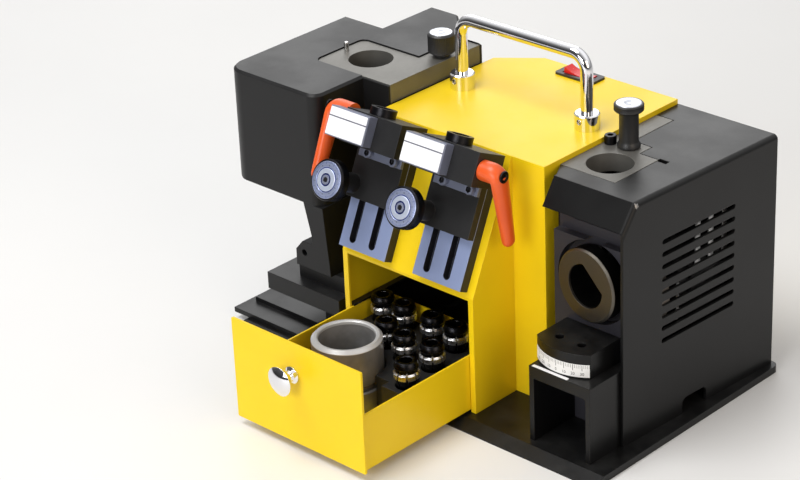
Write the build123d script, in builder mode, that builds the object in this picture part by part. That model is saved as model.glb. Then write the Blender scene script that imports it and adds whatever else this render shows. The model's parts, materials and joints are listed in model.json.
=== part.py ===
"""Combined drill and end mill grinder, built as separate named pieces.

Frame in millimetres: X to the right, Y to the back, Z up, floor at z = 0.
The origin lies on the floor under the base plate, in the middle of the machine's width.
The drawer stands open, as the machine is shown in use.
"""
import os
from math import atan2, cos, radians, sin

from build123d import *

# Fits shared by every piece
SLIDE_GAP = 0.2
PIN_FIT = 0.05
PUSH_FIT = 0.03
LET_IN = 0.3

# Base plate
BASE_LEFT = -184.0
BASE_RIGHT = 200.5
BASE_FRONT = -112.0
BASE_BACK = 118.0
BASE_TOP = 6.0
BASE_BEVEL = 11.3
BASE_EDGE = 1.5
BASE_CORNER = 6.0

# Centre housing of folded sheet
SHEET = 2.0
HOUSE_LEFT = -70.0
HOUSE_STEP_X = 67.4
HOUSE_RIGHT = 99.3
HOUSE_FRONT = -93.2
HOUSE_STEP_Y = -45.5
HOUSE_BACK = 115.2
HOUSE_TOP = 207.8
HOUSE_CUT_X = 33.5
HOUSE_CUT_Y = 25.2
PANEL_FOOT = 105.3
BAY_LEFT = -65.0
BAY_RIGHT = 62.5
BAY_TOP = 103.0
ACCESS_X = 32.0
ACCESS_Z = 104.0
ACCESS_W = 90.0
ACCESS_H = 132.0
COVER_LAP = 8.0

# Slanted front panel: tilt from the vertical, and its unit directions
TILT = atan2(HOUSE_STEP_Y - HOUSE_FRONT, HOUSE_TOP - PANEL_FOOT)
PANEL_UP = (0, sin(TILT), cos(TILT))
PANEL_OUT = (0, -cos(TILT), sin(TILT))

# Power inlet in the rear cover, run capacitors behind the drawer
INLET_X = 32.0
INLET_Z = 62.0
INLET_W = 28.0
INLET_H = 20.0
INLET_FLANGE = 2.0
INLET_DEPTH = 18.0
INLET_WALL = 2.0
CAPACITOR_R = 17.5
CAPACITOR_H = 62.0
CAPACITOR_Y = 80.5
CAPACITOR_X = (-6.0, 38.0)

# Carry handle
TUBE_R = 5.0
HANDLE_X = (-49.5, 78.5)
HANDLE_Y = 29.5
HANDLE_BAR_Z = 267.0
HANDLE_BEND = 13.0
COLLAR_R = 10.0
COLLAR_H = 13.0
COLLAR_EDGE = 1.0
COLLAR_SCREW_UP = 7.8
SET_SCREW_R = 2.2

# Rocker switch
SWITCH_X = 10.3
SWITCH_Y = 103.2
BEZEL_W = 39.0
BEZEL_D = 17.0
BEZEL_H = 2.0
SWITCH_W = 31.0
SWITCH_D = 12.4
SWITCH_DROP = 18.0
SWITCH_WALL = 1.2
SWITCH_WELL = 11.0
ROCKER_SINK = 0.8
ROCKER_AXIS_Z = HOUSE_TOP - ROCKER_SINK
ROCKER_TILT = 9.0
ROCKER_HALF = 13.0
ROCKER_END = 5.5
ROCKER_MIDDLE = 3.4
ROCKER_PIN_R = 1.0

# Drawer, drawn open
DRAWER_FACE = -212.9
DRAWER_FRONT_T = 2.0
FRONT_LEFT = -72.4
FRONT_RIGHT = 64.6
FRONT_LOW = 7.0
FRONT_HIGH = 93.5
FRONT_CORNER = 1.0
TRAY_LEFT = -64.5
TRAY_RIGHT = 62.0
TRAY_BOTTOM = 8.2
TRAY_WALL = 1.5
TRAY_TOP = 55.5
TRAY_LENGTH = 155.0
RUNNER_T = 1.6
RUNNER_LIP = 4.0
RUNNER_BACK = 70.0
PULL_X = -8.0
PULL_Z = 66.5
PULL_R = 12.0
PULL_REACH = 18.0
PULL_RIM = 14.0
PULL_FOOT_R = 7.0
PULL_FOOT_T = 1.2
PULL_NECK = (4.5, 3.0)
PULL_STEM_R = 3.5
PULL_STEM = (5.0, 9.0)
PULL_FLARE = (6.0, 11.5)

# What the drawer holds: places across from the tray's middle and forward from the rack's back
RACK_GAP = 0.6
RACK_LENGTH = 92.0
RACK_ARM = 24.0
RACK_TOP = 40.0
RACK_FLOOR = 26.0
COLLET_H = 36.0
COLLET_R = 10.3
COLLET_TAIL_R = 6.6
COLLET_CONE_R = 9.0
COLLET_GROOVE_R = 8.8
COLLET_NOSE_R = 9.9
COLLET_TIP_R = 8.4
COLLET_CONE_TOP = 20.0
COLLET_RIM_LOW = 22.0
COLLET_RIM_TOP = 26.0
COLLET_GROOVE_TOP = 30.0
COLLET_STEP = 1.0
COLLET_BORE = 5.0
COLLET_SEAT = 9.2
COLLET_PLACES = (
    (-49.8, 12.0), (-26.8, 12.0), (3.9, 12.0), (28.3, 12.0),
    (-18.3, 41.2), (7.2, 48.2), (34.6, 46.1), (37.8, 78.3),
)
CHUCK_PLACE = (-19.8, 83.5)
CHUCK_R = 28.0
CHUCK_BASE_R = 29.2
CHUCK_BORE = 22.5
CHUCK_BODY_BORE = 14.0
CHUCK_NECK_R = 25.0
CHUCK_SHOULDER = 28.0
CHUCK_SPLIT = 32.5
CHUCK_TOP = 65.5
CHUCK_EDGE = 1.0
CHUCK_RIM = 2.5

# Setting gauges on the slanted panel, in panel coordinates
GAUGE_U = {"left": -42.8, "right": 35.8}
GAUGE_W = 49.0
RAIL_LOW = 4.0
RAIL_HIGH = 100.0
RAIL_T = 9.0
RAIL_SLOT = 7.0
RAIL_SLOT_PLACES = (-12.3, 8.3)
RAIL_SLOT_LOW = 8.7
RAIL_SLOT_HIGH = 94.0
RAIL_SLOT_DEPTH = 7.0
KEY_LOW = 54.0
KEY_HIGH = 84.0
KEY_DEPTH = 4.0
SLIDER_LOW = 44.0
SLIDER_PLATE = 16.0
BLOCK_LOW = 86.0
BLOCK_HIGH = 112.6
BLOCK_OUT = 40.0
BLOCK_OVER = 8.5
BUSH_OUT = 26.0
BUSH_R = 10.5
BUSH_BORE = 7.0
BUSH_LOW = 88.0
BUSH_HIGH = 119.0
CLAMP_V = 81.5
CLAMP_H = 8.0
CLAMP_T = 3.0
CLAMP_LEFT = -20.0
CAP_PLACES = (-8.9, 18.1)
CAP_R = 4.25
CAP_H = 4.2
CAP_HEX = 2.3
CAP_SHANK = 2.0
CAP_HOLE = 2.2
CAP_TIP = 11.0
BRACKET_LEFT = -32.5
BRACKET_RIGHT = 8.0
BRACKET_LOW = 88.0
BRACKET_HIGH = 111.5
BRACKET_T = 10.0
BRACKET_EDGE = 0.8
DIAL_U = -20.5
DIAL_V = 54.5
DIAL_R = 16.5
DIAL_HUB = 8.0
DIAL_SHAFT = 4.0
DIAL_BACK = 38.0
DIAL_FACE = 48.0
DIAL_BOSS_R = 8.0
DIAL_BOSS_OUT = 30.0
DIAL_SOCKET_FLOOR = 3.0
DIAL_EDGE = 1.0
DIAL_BEVEL = 2.0
DIAL_CAP_R = 4.0
DIAL_CAP_H = 1.0
LEVER_V = {"left": 108.0, "right": 100.0}
LEVER_OUT = 31.0
LEVER_HUB = 8.0
LEVER_TIP = 5.6
LEVER_REACH = {"left": 53.0, "right": 57.0}
LEVER_ARM_T = 11.0
LEVER_ROUND = 2.5
LEVER_HUB_LENGTH = {"left": 26.0, "right": 20.5}
LEVER_LEAN = 9.0
STUD_R = 3.0
STUD_LENGTH = 18.0

# Left head
CAST = 3.0
LEFT_LOW = 128.0
LEFT_TOP = 224.4
LEFT_X = -202.0
LEFT_BOX_X = -100.0
LEFT_FRONT = -85.3
LEFT_BOX_Y = -31.6
LEFT_SIDE = -71.9
LEFT_SIDE_Y = 78.0
LEFT_TAIL_X = -128.8
LEFT_REAR = 112.6
LEFT_BLOCK_X = -159.0
LEFT_WING_Y = 53.0
LEFT_ROUND = 17.0
LEFT_ROUND_RIGHT = 10.0
LEFT_UNDER_ROUND = 12.0
LEFT_EDGE = 2.0
HATCH = (-184.0, -126.0, -70.0, 30.0)
HATCH_LAP = 5.0
HATCH_T = 2.0
PORT_R = 18.25
CHAMBER_R = 21.5
LEFT_PORT = (-121.2, -0.3)
LEFT_PLATE_LOW = 207.8
LEFT_PLATE_TOP = 223.4
LEFT_PLATE_X = -154.0
LEFT_PLATE_RIGHT = -71.7
LEFT_PLATE_FRONT = -30.0
LEFT_PLATE_BACK = 25.0
LEFT_PLATE_TAIL_X = -92.0
LEFT_PLATE_TAIL_Y = 75.0
PLATE_GROOVE = 0.7
PLATE_CORNER = 6.0
LEFT_KNOB = (-81.0, 40.0)
LEFT_KNOB_R = 11.0
LEFT_KNOB_H = 20.5
KNOB_PIN_R = 4.0
KNOB_PIN_DEPTH = 10.0
KNOB_PIN_SHORT = 1.0
KNOB_PIN_LOW = KNOB_PIN_SHORT - KNOB_PIN_DEPTH
KNOB_FOOT_T = 3.0
KNOB_EDGE = 1.0
LEFT_KNOB_FOOT_R = 7.5
LEFT_KNOB_BEVEL = 1.5
STOP_PIN = (-148.4, -0.3)
STOP_PIN_R = 2.0
STOP_PIN_H = 8.0

# Column, pedestal and foot under the left head
COLUMN_BACK = 40.0
COLUMN_FOOT = 69.0
COLUMN_X = -110.0
COLUMN_TOP_LEFT = -10.3
COLUMN_TOP_RIGHT = 11.1
COLUMN_FOOT_RIGHT = 16.7
COLUMN_WAIST = -3.0
COLUMN_WAIST_H = 31.0
SHOE_LEFT = -22.0
SHOE_TOP_LEFT = -14.0
SHOE_SIDE_H = 14.0
SHOE_H = 23.0
COLUMN_HOLE = (-12.5, 13.0)
COLUMN_HOLE_R = 2.8
COLUMN_HOLE_DEPTH = 12.0
STEP_BEYOND = 8.0
LEDGE_LOW = 40.0
LEDGE_TOP = 55.0
LEDGE_LEFT = -161.0
LEDGE_FRONT = -92.0
PEDESTAL_RIGHT = -79.0
PEDESTAL_LEFT = -118.0
PEDESTAL_FRONT = -70.0
PEDESTAL_BACK = 80.0
STEP_LEFT = -135.0
STEP_FRONT = -80.0
FOOT_LEFT = -201.0
FOOT_RIGHT = -121.0
FOOT_FRONT = -95.6
FOOT_BACK = -10.0
FOOT_TOP = 10.2
FOOT_RIDGE_LEFT = -195.0
FOOT_RIDGE_FRONT = -76.5
FOOT_RIDGE_TOP = 14.2

# Spindles and wheels of both heads
SPINDLE_R = 5.0
NUT_R = 9.0
NUT_H = 6.0
WHEEL_FRONT = -14.0
WHEEL_T = 10.0
WHEEL_HUB_R = 14.0
WHEEL_RIM = 9.0
WHEEL_DISH = 4.0
WHEEL_HUB_SLOPE = 3.0
WHEEL_RIM_SLOPE = 2.0
SHOULDER = 3.0
SHOULDER_T = 4.0
NOSE_PAST_NUT = 1.5
LEFT_AXIS = (-151.0, 169.0)
LEFT_WHEEL_R = 34.0
LEFT_MOTOR_R = 33.0
LEFT_MOTOR_FRONT = -79.0
LEFT_PLATE_Y = -37.0
LEFT_PLATE_T = 4.0
MOTOR_BORE_DEPTH = 25.0

# Right head
CASE = 2.5
RIGHT_X = 99.8
RIGHT_CUT_X = 109.0
RIGHT_CUT_FRONT = -43.0
RIGHT_CUT_BACK = -27.0
RIGHT_FRONT = -59.6
RIGHT_FRONT_X = 185.3
RIGHT_BACK_X = 194.7
RIGHT_TOP = 204.0
RIGHT_EDGE = 4.0
VISOR_Y = -45.5
VISOR_Z = 184.0
ALCOVE_BACK = -38.0
VENT_Y = 24.9
VENT_LENGTH = 83.2
VENT_H = 4.0
VENT_LOW = 79.2
VENT_PITCH = 10.34
VENT_COUNT = 9
NOTCH_Y = 22.0
NOTCH_W = 28.0
NOTCH_H = 13.0
NOTCH_ROUND = 5.0
RIGHT_PORT = (127.8, -3.4)
RIGHT_PLATE_LOW = 189.0
RIGHT_PLATE_X = 152.0
RIGHT_PLATE_FRONT = -27.5
RIGHT_PLATE_BACK = 23.3
RIGHT_LOBE_X = 134.0
RIGHT_LOBE_Y = 38.0
RIGHT_TAIL_X = 116.0
RIGHT_TAIL_Y = 87.5
PLATE_NOTCH_W = 9.0
PLATE_NOTCH_H = 5.0
RIGHT_KNOB = (120.0, 28.5)
RIGHT_KNOB_TOP = 240.5
RIGHT_KNOB_HEAD = 11.5
RIGHT_KNOB_STEM = 7.5
RIGHT_KNOB_FOOT_R = 9.0
RIGHT_KNOB_NECK = 5.0
RIGHT_KNOB_BEVEL = 1.2
RIGHT_KNOB_HEAD_H = 6.5
FACE_PLATE_Y = -47.0
FACE_PLATE_T = 17.0
FACE_PLATE_LEFT = 109.3
FACE_PLATE_RIGHT = 182.5
FACE_PLATE_TOP = 183.4
BAND_BACK = 7.0
BAND_LOW = 161.0
BAND_SLOT_Z = 173.0
BAND_SLOT_W = 50.0
BAND_SLOT_H = 4.0
BAND_SLOT_DEPTH = 6.0
SWIVEL = (147.0, -50.0, 128.0)
SWIVEL_TURN = -6.0
SWIVEL_R = 29.5
SWIVEL_HALF_T = 6.0
SWIVEL_BEVEL = 1.5
SLEEVE_R = 21.0
SLEEVE_LENGTH = 16.0
SLEEVE_WINDOW = 27.0
SWIVEL_RECESS_R = 34.0
SWIVEL_RECESS = 8.2
D_HOLE_R = 17.6
D_FLAT = 11.5
D_TURN = 48.0
TRUNNION_R = 2.5
TRUNNION_BACK = 15.0
TRUNNION_DEPTH = 6.0
ARC_LOW = 70.0
ARC_TOP = 90.0
ARC_R = 41.0
ARC_HALF = 26.0
ARC_HOLE_R = 3.5
ARC_HOLE_RING = 26.0
STAND_LEFT = 123.5
STAND_RIGHT = 182.3
STAND_FRONT = -94.5
STAND_WALL = 4.5
STAND_CEILING = 10.0
RIGHT_AXIS = (147.0, 110.0)
RIGHT_WHEEL_R = 38.0
RIGHT_MOTOR_R = 36.0
RIGHT_MOTOR_FRONT = 15.0
RIGHT_MOTOR_BACK = 98.0
MOTOR_BELL = 10.0
MOTOR_BELL_STEP = 3.0
MOTOR_FOOT_W = 52.0
MOTOR_FOOT_L = 50.0


def hand_in(piece, name):
    """Label a finished piece and write its file."""
    piece.label = name
    export_step(piece, f"parts/{name}.step")


def level(z):
    """Horizontal plane at height z, drawn in X and Y."""
    return Plane.XY.offset(z)


def facing(y):
    """Upright plane at depth y, drawn in X and Z, growing to the front."""
    return Plane(origin=(0, y, 0), x_dir=(1, 0, 0), z_dir=(0, -1, 0))


def profile(x):
    """Upright plane at x, drawn in Y and Z, growing to the right."""
    return Plane(origin=(x, 0, 0), x_dir=(0, 1, 0), z_dir=(1, 0, 0))


def on_panel(out):
    """Plane parallel to the slanted panel, drawn across and up the slope."""
    return Plane(origin=(0, HOUSE_FRONT, PANEL_FOOT), x_dir=(1, 0, 0), z_dir=PANEL_OUT).offset(out)


def across_panel(u):
    """Plane at right angles to the panel, drawn up the slope and outwards."""
    return Plane(origin=(u, HOUSE_FRONT, PANEL_FOOT), x_dir=PANEL_UP, z_dir=(1, 0, 0))


def panel_point(u, v, w):
    """Point of the frame at panel coordinates u across, v up, w outwards."""
    return tuple(on_panel(0).from_local_coords((u, v, w)))


def middle(low, high):
    """Middle of a span."""
    return (low + high) / 2


os.makedirs("parts", exist_ok=True)

# Base plate: one bevelled section run across the width
with BuildPart() as base_plate:
    with BuildSketch(profile(BASE_LEFT)):
        with BuildLine():
            Polyline(
                (BASE_FRONT, 0), (BASE_BACK, 0), (BASE_BACK, BASE_TOP), (BASE_FRONT + BASE_BEVEL, BASE_TOP),
                (BASE_FRONT, BASE_EDGE), close=True,
            )
        make_face()
    extrude(amount=BASE_RIGHT - BASE_LEFT)
    fillet(base_plate.edges().filter_by(Axis.Z), BASE_CORNER)
hand_in(base_plate.part, "base_plate")

# Centre housing: folded box with a slanted front, shelled and open below
with BuildPart() as center_housing:
    with BuildSketch(level(BASE_TOP)):
        with BuildLine():
            Polyline(
                (HOUSE_LEFT, HOUSE_STEP_Y), (HOUSE_RIGHT, HOUSE_STEP_Y), (HOUSE_RIGHT, HOUSE_BACK),
                (HOUSE_LEFT + HOUSE_CUT_X, HOUSE_BACK), (HOUSE_LEFT, HOUSE_BACK - HOUSE_CUT_Y), close=True,
            )
        make_face()
    extrude(amount=HOUSE_TOP - BASE_TOP)
    with BuildSketch(profile(HOUSE_LEFT)):
        with BuildLine():
            Polyline(
                (HOUSE_FRONT, BASE_TOP), (HOUSE_STEP_Y, BASE_TOP), (HOUSE_STEP_Y, HOUSE_TOP),
                (HOUSE_FRONT, PANEL_FOOT), close=True,
            )
        make_face()
    extrude(amount=HOUSE_STEP_X - HOUSE_LEFT)
    offset(amount=-SHEET, openings=center_housing.faces().sort_by(Axis.Z)[0])
    with BuildSketch(facing(HOUSE_FRONT)):
        with Locations((middle(BAY_LEFT, BAY_RIGHT), middle(BASE_TOP, BAY_TOP))):
            Rectangle(BAY_RIGHT - BAY_LEFT, BAY_TOP - BASE_TOP)
    extrude(amount=-SHEET, mode=Mode.SUBTRACT)
    with BuildSketch(facing(HOUSE_BACK)):
        with Locations((ACCESS_X, ACCESS_Z)):
            Rectangle(ACCESS_W, ACCESS_H)
    extrude(amount=SHEET, mode=Mode.SUBTRACT)
    with BuildSketch(level(HOUSE_TOP)):
        with Locations((SWITCH_X, SWITCH_Y)):
            Rectangle(SWITCH_W + 2 * LET_IN, SWITCH_D + 2 * LET_IN)
    extrude(amount=-SHEET, mode=Mode.SUBTRACT)
hand_in(center_housing.part, "center_housing")

with BuildPart() as rear_cover:
    with BuildSketch(facing(HOUSE_BACK)):
        with Locations((ACCESS_X, ACCESS_Z)):
            RectangleRounded(ACCESS_W + 2 * COVER_LAP, ACCESS_H + 2 * COVER_LAP, COVER_LAP)
        with Locations((INLET_X, INLET_Z)):
            Rectangle(INLET_W + 2 * LET_IN, INLET_H + 2 * LET_IN, mode=Mode.SUBTRACT)
    extrude(amount=-SHEET)
hand_in(rear_cover.part, "rear_cover")

# Power inlet: flanged well with three flat pins
COVER_FACE = HOUSE_BACK + SHEET
with BuildPart() as power_inlet:
    with BuildSketch(facing(COVER_FACE)):
        with Locations((INLET_X, INLET_Z)):
            RectangleRounded(INLET_W + 4 * INLET_WALL, INLET_H + 4 * INLET_WALL, INLET_WALL)
    extrude(amount=-INLET_FLANGE)
    with BuildSketch(facing(COVER_FACE)):
        with Locations((INLET_X, INLET_Z)):
            Rectangle(INLET_W, INLET_H)
    extrude(amount=INLET_DEPTH)
    with BuildSketch(facing(COVER_FACE + INLET_FLANGE)):
        with Locations((INLET_X, INLET_Z)):
            Rectangle(INLET_W - 2 * INLET_WALL, INLET_H - 2 * INLET_WALL)
    extrude(amount=INLET_DEPTH, mode=Mode.SUBTRACT)
    with BuildSketch(facing(COVER_FACE - INLET_DEPTH + INLET_FLANGE)):
        with Locations((INLET_X, INLET_Z + INLET_H / 8)):
            Rectangle(INLET_WALL, INLET_H / 5)
        with Locations((INLET_X, INLET_Z - INLET_H / 8)):
            with GridLocations(INLET_W / 2, 0, 2, 1):
                Rectangle(INLET_WALL, INLET_H / 5)
    extrude(amount=-INLET_DEPTH * 2 / 3)
hand_in(power_inlet.part, "power_inlet")

with BuildPart() as run_capacitors:
    with BuildSketch(level(BASE_TOP)):
        with Locations(*[(x, CAPACITOR_Y) for x in CAPACITOR_X]):
            Circle(CAPACITOR_R)
    extrude(amount=CAPACITOR_H)
    chamfer(run_capacitors.edges().group_by(Axis.Z)[-1], SHEET)
hand_in(run_capacitors.part, "run_capacitors")

# Carry handle: one bent tube, its feet held in two collars
with BuildPart() as carry_handle:
    with BuildLine() as handle_path:
        FilletPolyline(
            (HANDLE_X[0], HANDLE_Y, HOUSE_TOP), (HANDLE_X[0], HANDLE_Y, HANDLE_BAR_Z),
            (HANDLE_X[1], HANDLE_Y, HANDLE_BAR_Z), (HANDLE_X[1], HANDLE_Y, HOUSE_TOP), radius=HANDLE_BEND,
        )
    with BuildSketch(Plane(origin=handle_path.line @ 0, z_dir=handle_path.line % 0)):
        Circle(TUBE_R)
    sweep()
hand_in(carry_handle.part, "carry_handle")

with BuildPart() as handle_collars:
    with BuildSketch(level(HOUSE_TOP)):
        with Locations(*[(x, HANDLE_Y) for x in HANDLE_X]):
            Circle(COLLAR_R)
            Circle(TUBE_R + PIN_FIT, mode=Mode.SUBTRACT)
    extrude(amount=COLLAR_H)
    rims = handle_collars.edges().group_by(Axis.Z)[-1].filter_by(GeomType.CIRCLE).sort_by(SortBy.LENGTH)[-2:]
    chamfer(rims, COLLAR_EDGE)
    with BuildSketch(facing(HANDLE_Y)):
        with Locations(*[(x, HOUSE_TOP + COLLAR_SCREW_UP) for x in HANDLE_X]):
            Circle(SET_SCREW_R)
    extrude(amount=COLLAR_R + 1, mode=Mode.SUBTRACT)
hand_in(handle_collars.part, "handle_collars")

# Rocker switch: bezel and well, and a rocker on a cross pin
with BuildPart() as switch_body:
    with BuildSketch(level(HOUSE_TOP)):
        with Locations((SWITCH_X, SWITCH_Y)):
            RectangleRounded(BEZEL_W, BEZEL_D, 2)
    extrude(amount=BEZEL_H)
    with BuildSketch(level(HOUSE_TOP)):
        with Locations((SWITCH_X, SWITCH_Y)):
            Rectangle(SWITCH_W, SWITCH_D)
    extrude(amount=-SWITCH_DROP)
    with BuildSketch(level(HOUSE_TOP + BEZEL_H)):
        with Locations((SWITCH_X, SWITCH_Y)):
            Rectangle(SWITCH_W - 2 * SWITCH_WALL, SWITCH_D - 2 * SWITCH_WALL)
    extrude(amount=-SWITCH_WELL, mode=Mode.SUBTRACT)
    with BuildSketch(facing(SWITCH_Y)):
        with Locations((SWITCH_X, ROCKER_AXIS_Z)):
            Circle(ROCKER_PIN_R + PIN_FIT)
    extrude(amount=SWITCH_D / 2, both=True, mode=Mode.SUBTRACT)
hand_in(switch_body.part, "switch_body")

ROCKER_LEAN = radians(ROCKER_TILT)
ROCKER_AXIS = (SWITCH_X, SWITCH_Y, ROCKER_AXIS_Z)
rocker_plane = Plane(origin=ROCKER_AXIS, x_dir=(cos(ROCKER_LEAN), 0, -sin(ROCKER_LEAN)), z_dir=(0, -1, 0))
with BuildPart() as switch_rocker:
    with BuildSketch(rocker_plane):
        with BuildLine():
            ThreePointArc((-ROCKER_HALF, ROCKER_END), (0, ROCKER_MIDDLE), (ROCKER_HALF, ROCKER_END))
            Polyline(
                (ROCKER_HALF, ROCKER_END), (ROCKER_HALF, -1), (0, -ROCKER_MIDDLE),
                (-ROCKER_HALF, -1), (-ROCKER_HALF, ROCKER_END),
            )
        make_face()
    extrude(amount=SWITCH_D / 2 - SWITCH_WALL - LET_IN, both=True)
    with BuildSketch(rocker_plane):
        Circle(ROCKER_PIN_R)
    extrude(amount=SWITCH_D / 2 - LET_IN, both=True)
hand_in(switch_rocker.part, "switch_rocker")

# Drawer: folded tray behind a wider front, guided by two channel runners
TRAY_FRONT = DRAWER_FACE + DRAWER_FRONT_T
with BuildPart() as drawer_tray:
    with BuildSketch(level(TRAY_BOTTOM)):
        with Locations((middle(TRAY_LEFT, TRAY_RIGHT), TRAY_FRONT + TRAY_LENGTH / 2)):
            Rectangle(TRAY_RIGHT - TRAY_LEFT, TRAY_LENGTH)
    extrude(amount=TRAY_TOP - TRAY_BOTTOM)
    offset(amount=-TRAY_WALL, openings=drawer_tray.faces().sort_by(Axis.Z)[-1])
hand_in(drawer_tray.part, "drawer_tray")

with BuildPart() as drawer_front:
    with BuildSketch(facing(TRAY_FRONT)):
        with Locations((middle(FRONT_LEFT, FRONT_RIGHT), middle(FRONT_LOW, FRONT_HIGH))):
            RectangleRounded(FRONT_RIGHT - FRONT_LEFT, FRONT_HIGH - FRONT_LOW, FRONT_CORNER)
    extrude(amount=DRAWER_FRONT_T)
hand_in(drawer_front.part, "drawer_front")

with BuildPart() as drawer_knob:
    with BuildSketch(Plane(origin=(PULL_X, DRAWER_FACE, PULL_Z), x_dir=(1, 0, 0), z_dir=(0, 0, -1))):
        with BuildLine():
            Polyline(
                (0, PULL_REACH), (0, 0), (PULL_FOOT_R, 0), (PULL_FOOT_R, PULL_FOOT_T), PULL_NECK,
                (PULL_STEM_R, PULL_STEM[0]), (PULL_STEM_R, PULL_STEM[1]), PULL_FLARE, (PULL_R, PULL_RIM),
            )
            TangentArc((0, PULL_REACH), (PULL_R, PULL_RIM), tangent=(1, 0))
        make_face()
    revolve(axis=Axis((PULL_X, DRAWER_FACE, PULL_Z), (0, -1, 0)))
hand_in(drawer_knob.part, "drawer_knob")

RUNNER_FRONT = HOUSE_FRONT + SHEET + LET_IN
with BuildPart() as drawer_runners:
    for wall, toward in ((HOUSE_LEFT + SHEET, 1), (HOUSE_STEP_X - SHEET, -1)):
        with BuildSketch(facing(RUNNER_FRONT)):
            with BuildLine():
                inner = wall + toward * RUNNER_T
                lip = inner + toward * RUNNER_LIP
                upper = TRAY_TOP + SLIDE_GAP
                Polyline(
                    (wall, BASE_TOP), (lip, BASE_TOP), (lip, TRAY_BOTTOM - SLIDE_GAP),
                    (inner, TRAY_BOTTOM - SLIDE_GAP), (inner, upper), (lip, upper),
                    (lip, upper + RUNNER_T), (wall, upper + RUNNER_T), close=True,
                )
            make_face()
        extrude(amount=RUNNER_FRONT - RUNNER_BACK)
hand_in(drawer_runners.part, "drawer_runners")

# L-shaped collet rack cut round for the chuck, collets turned from one profile
TRAY_FLOOR = TRAY_BOTTOM + TRAY_WALL
TRAY_MIDDLE = middle(TRAY_LEFT, TRAY_RIGHT)
RACK_BACK = TRAY_FRONT + TRAY_LENGTH - TRAY_WALL - RACK_GAP
COLLETS = [(TRAY_MIDDLE + across, RACK_BACK - forward) for across, forward in COLLET_PLACES]
CHUCK_X = TRAY_MIDDLE + CHUCK_PLACE[0]
CHUCK_Y = RACK_BACK - CHUCK_PLACE[1]
with BuildPart() as collet_rack:
    with BuildSketch(level(TRAY_FLOOR)):
        with Locations((TRAY_MIDDLE, RACK_BACK - RACK_LENGTH / 2)):
            Rectangle(TRAY_RIGHT - TRAY_LEFT - 2 * TRAY_WALL - 2 * LET_IN, RACK_LENGTH)
        with Locations((middle(TRAY_LEFT, TRAY_MIDDLE + RACK_ARM), middle(RACK_BACK - RACK_LENGTH, CHUCK_Y))):
            Rectangle(
                TRAY_MIDDLE + RACK_ARM - TRAY_LEFT, CHUCK_Y - RACK_BACK + RACK_LENGTH, mode=Mode.SUBTRACT
            )
        with Locations((CHUCK_X, CHUCK_Y)):
            Circle(CHUCK_BASE_R + LET_IN, mode=Mode.SUBTRACT)
    extrude(amount=RACK_TOP - TRAY_FLOOR)
    with BuildSketch(level(RACK_FLOOR)):
        with Locations(*COLLETS):
            Circle(COLLET_SEAT)
    extrude(amount=RACK_TOP - RACK_FLOOR, mode=Mode.SUBTRACT)
hand_in(collet_rack.part, "collet_rack")

with BuildPart() as collets:
    for x, y in COLLETS:
        with BuildSketch(Plane(origin=(x, y, RACK_FLOOR), x_dir=(1, 0, 0), z_dir=(0, -1, 0))):
            with BuildLine():
                Polyline(
                    (COLLET_BORE, 0), (COLLET_TAIL_R, 0), (COLLET_CONE_R, COLLET_CONE_TOP),
                    (COLLET_R, COLLET_RIM_LOW), (COLLET_R, COLLET_RIM_TOP),
                    (COLLET_GROOVE_R, COLLET_RIM_TOP + COLLET_STEP), (COLLET_GROOVE_R, COLLET_GROOVE_TOP),
                    (COLLET_NOSE_R, COLLET_GROOVE_TOP + COLLET_STEP), (COLLET_TIP_R, COLLET_H),
                    (COLLET_BORE, COLLET_H), close=True,
                )
            make_face()
        revolve(axis=Axis((x, y, RACK_FLOOR), (0, 0, 1)))
hand_in(collets.part, "collets")

chuck_plane = Plane(origin=(CHUCK_X, CHUCK_Y, 0), x_dir=(1, 0, 0), z_dir=(0, -1, 0))
chuck_axis = Axis((CHUCK_X, CHUCK_Y, 0), (0, 0, 1))
with BuildPart() as chuck_body:
    with BuildSketch(chuck_plane):
        with BuildLine():
            Polyline(
                (CHUCK_BODY_BORE, TRAY_FLOOR), (CHUCK_BASE_R - CHUCK_EDGE, TRAY_FLOOR),
                (CHUCK_BASE_R, TRAY_FLOOR + CHUCK_EDGE), (CHUCK_BASE_R, CHUCK_SHOULDER - CHUCK_EDGE),
                (CHUCK_BASE_R - CHUCK_EDGE, CHUCK_SHOULDER), (CHUCK_NECK_R, CHUCK_SHOULDER),
                (CHUCK_NECK_R, CHUCK_SPLIT), (CHUCK_BODY_BORE, CHUCK_SPLIT),
                close=True,
            )
        make_face()
    revolve(axis=chuck_axis)
hand_in(chuck_body.part, "chuck_body")

with BuildPart() as chuck_nut:
    with BuildSketch(chuck_plane):
        with BuildLine():
            Polyline(
                (CHUCK_BORE, CHUCK_SPLIT), (CHUCK_R - CHUCK_EDGE, CHUCK_SPLIT),
                (CHUCK_R, CHUCK_SPLIT + CHUCK_EDGE), (CHUCK_R, CHUCK_TOP - CHUCK_RIM),
                (CHUCK_R - CHUCK_RIM, CHUCK_TOP),
                (CHUCK_BORE + CHUCK_EDGE, CHUCK_TOP), (CHUCK_BORE, CHUCK_TOP - CHUCK_EDGE), close=True,
            )
        make_face()
    revolve(axis=chuck_axis)
hand_in(chuck_nut.part, "chuck_nut")


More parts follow.
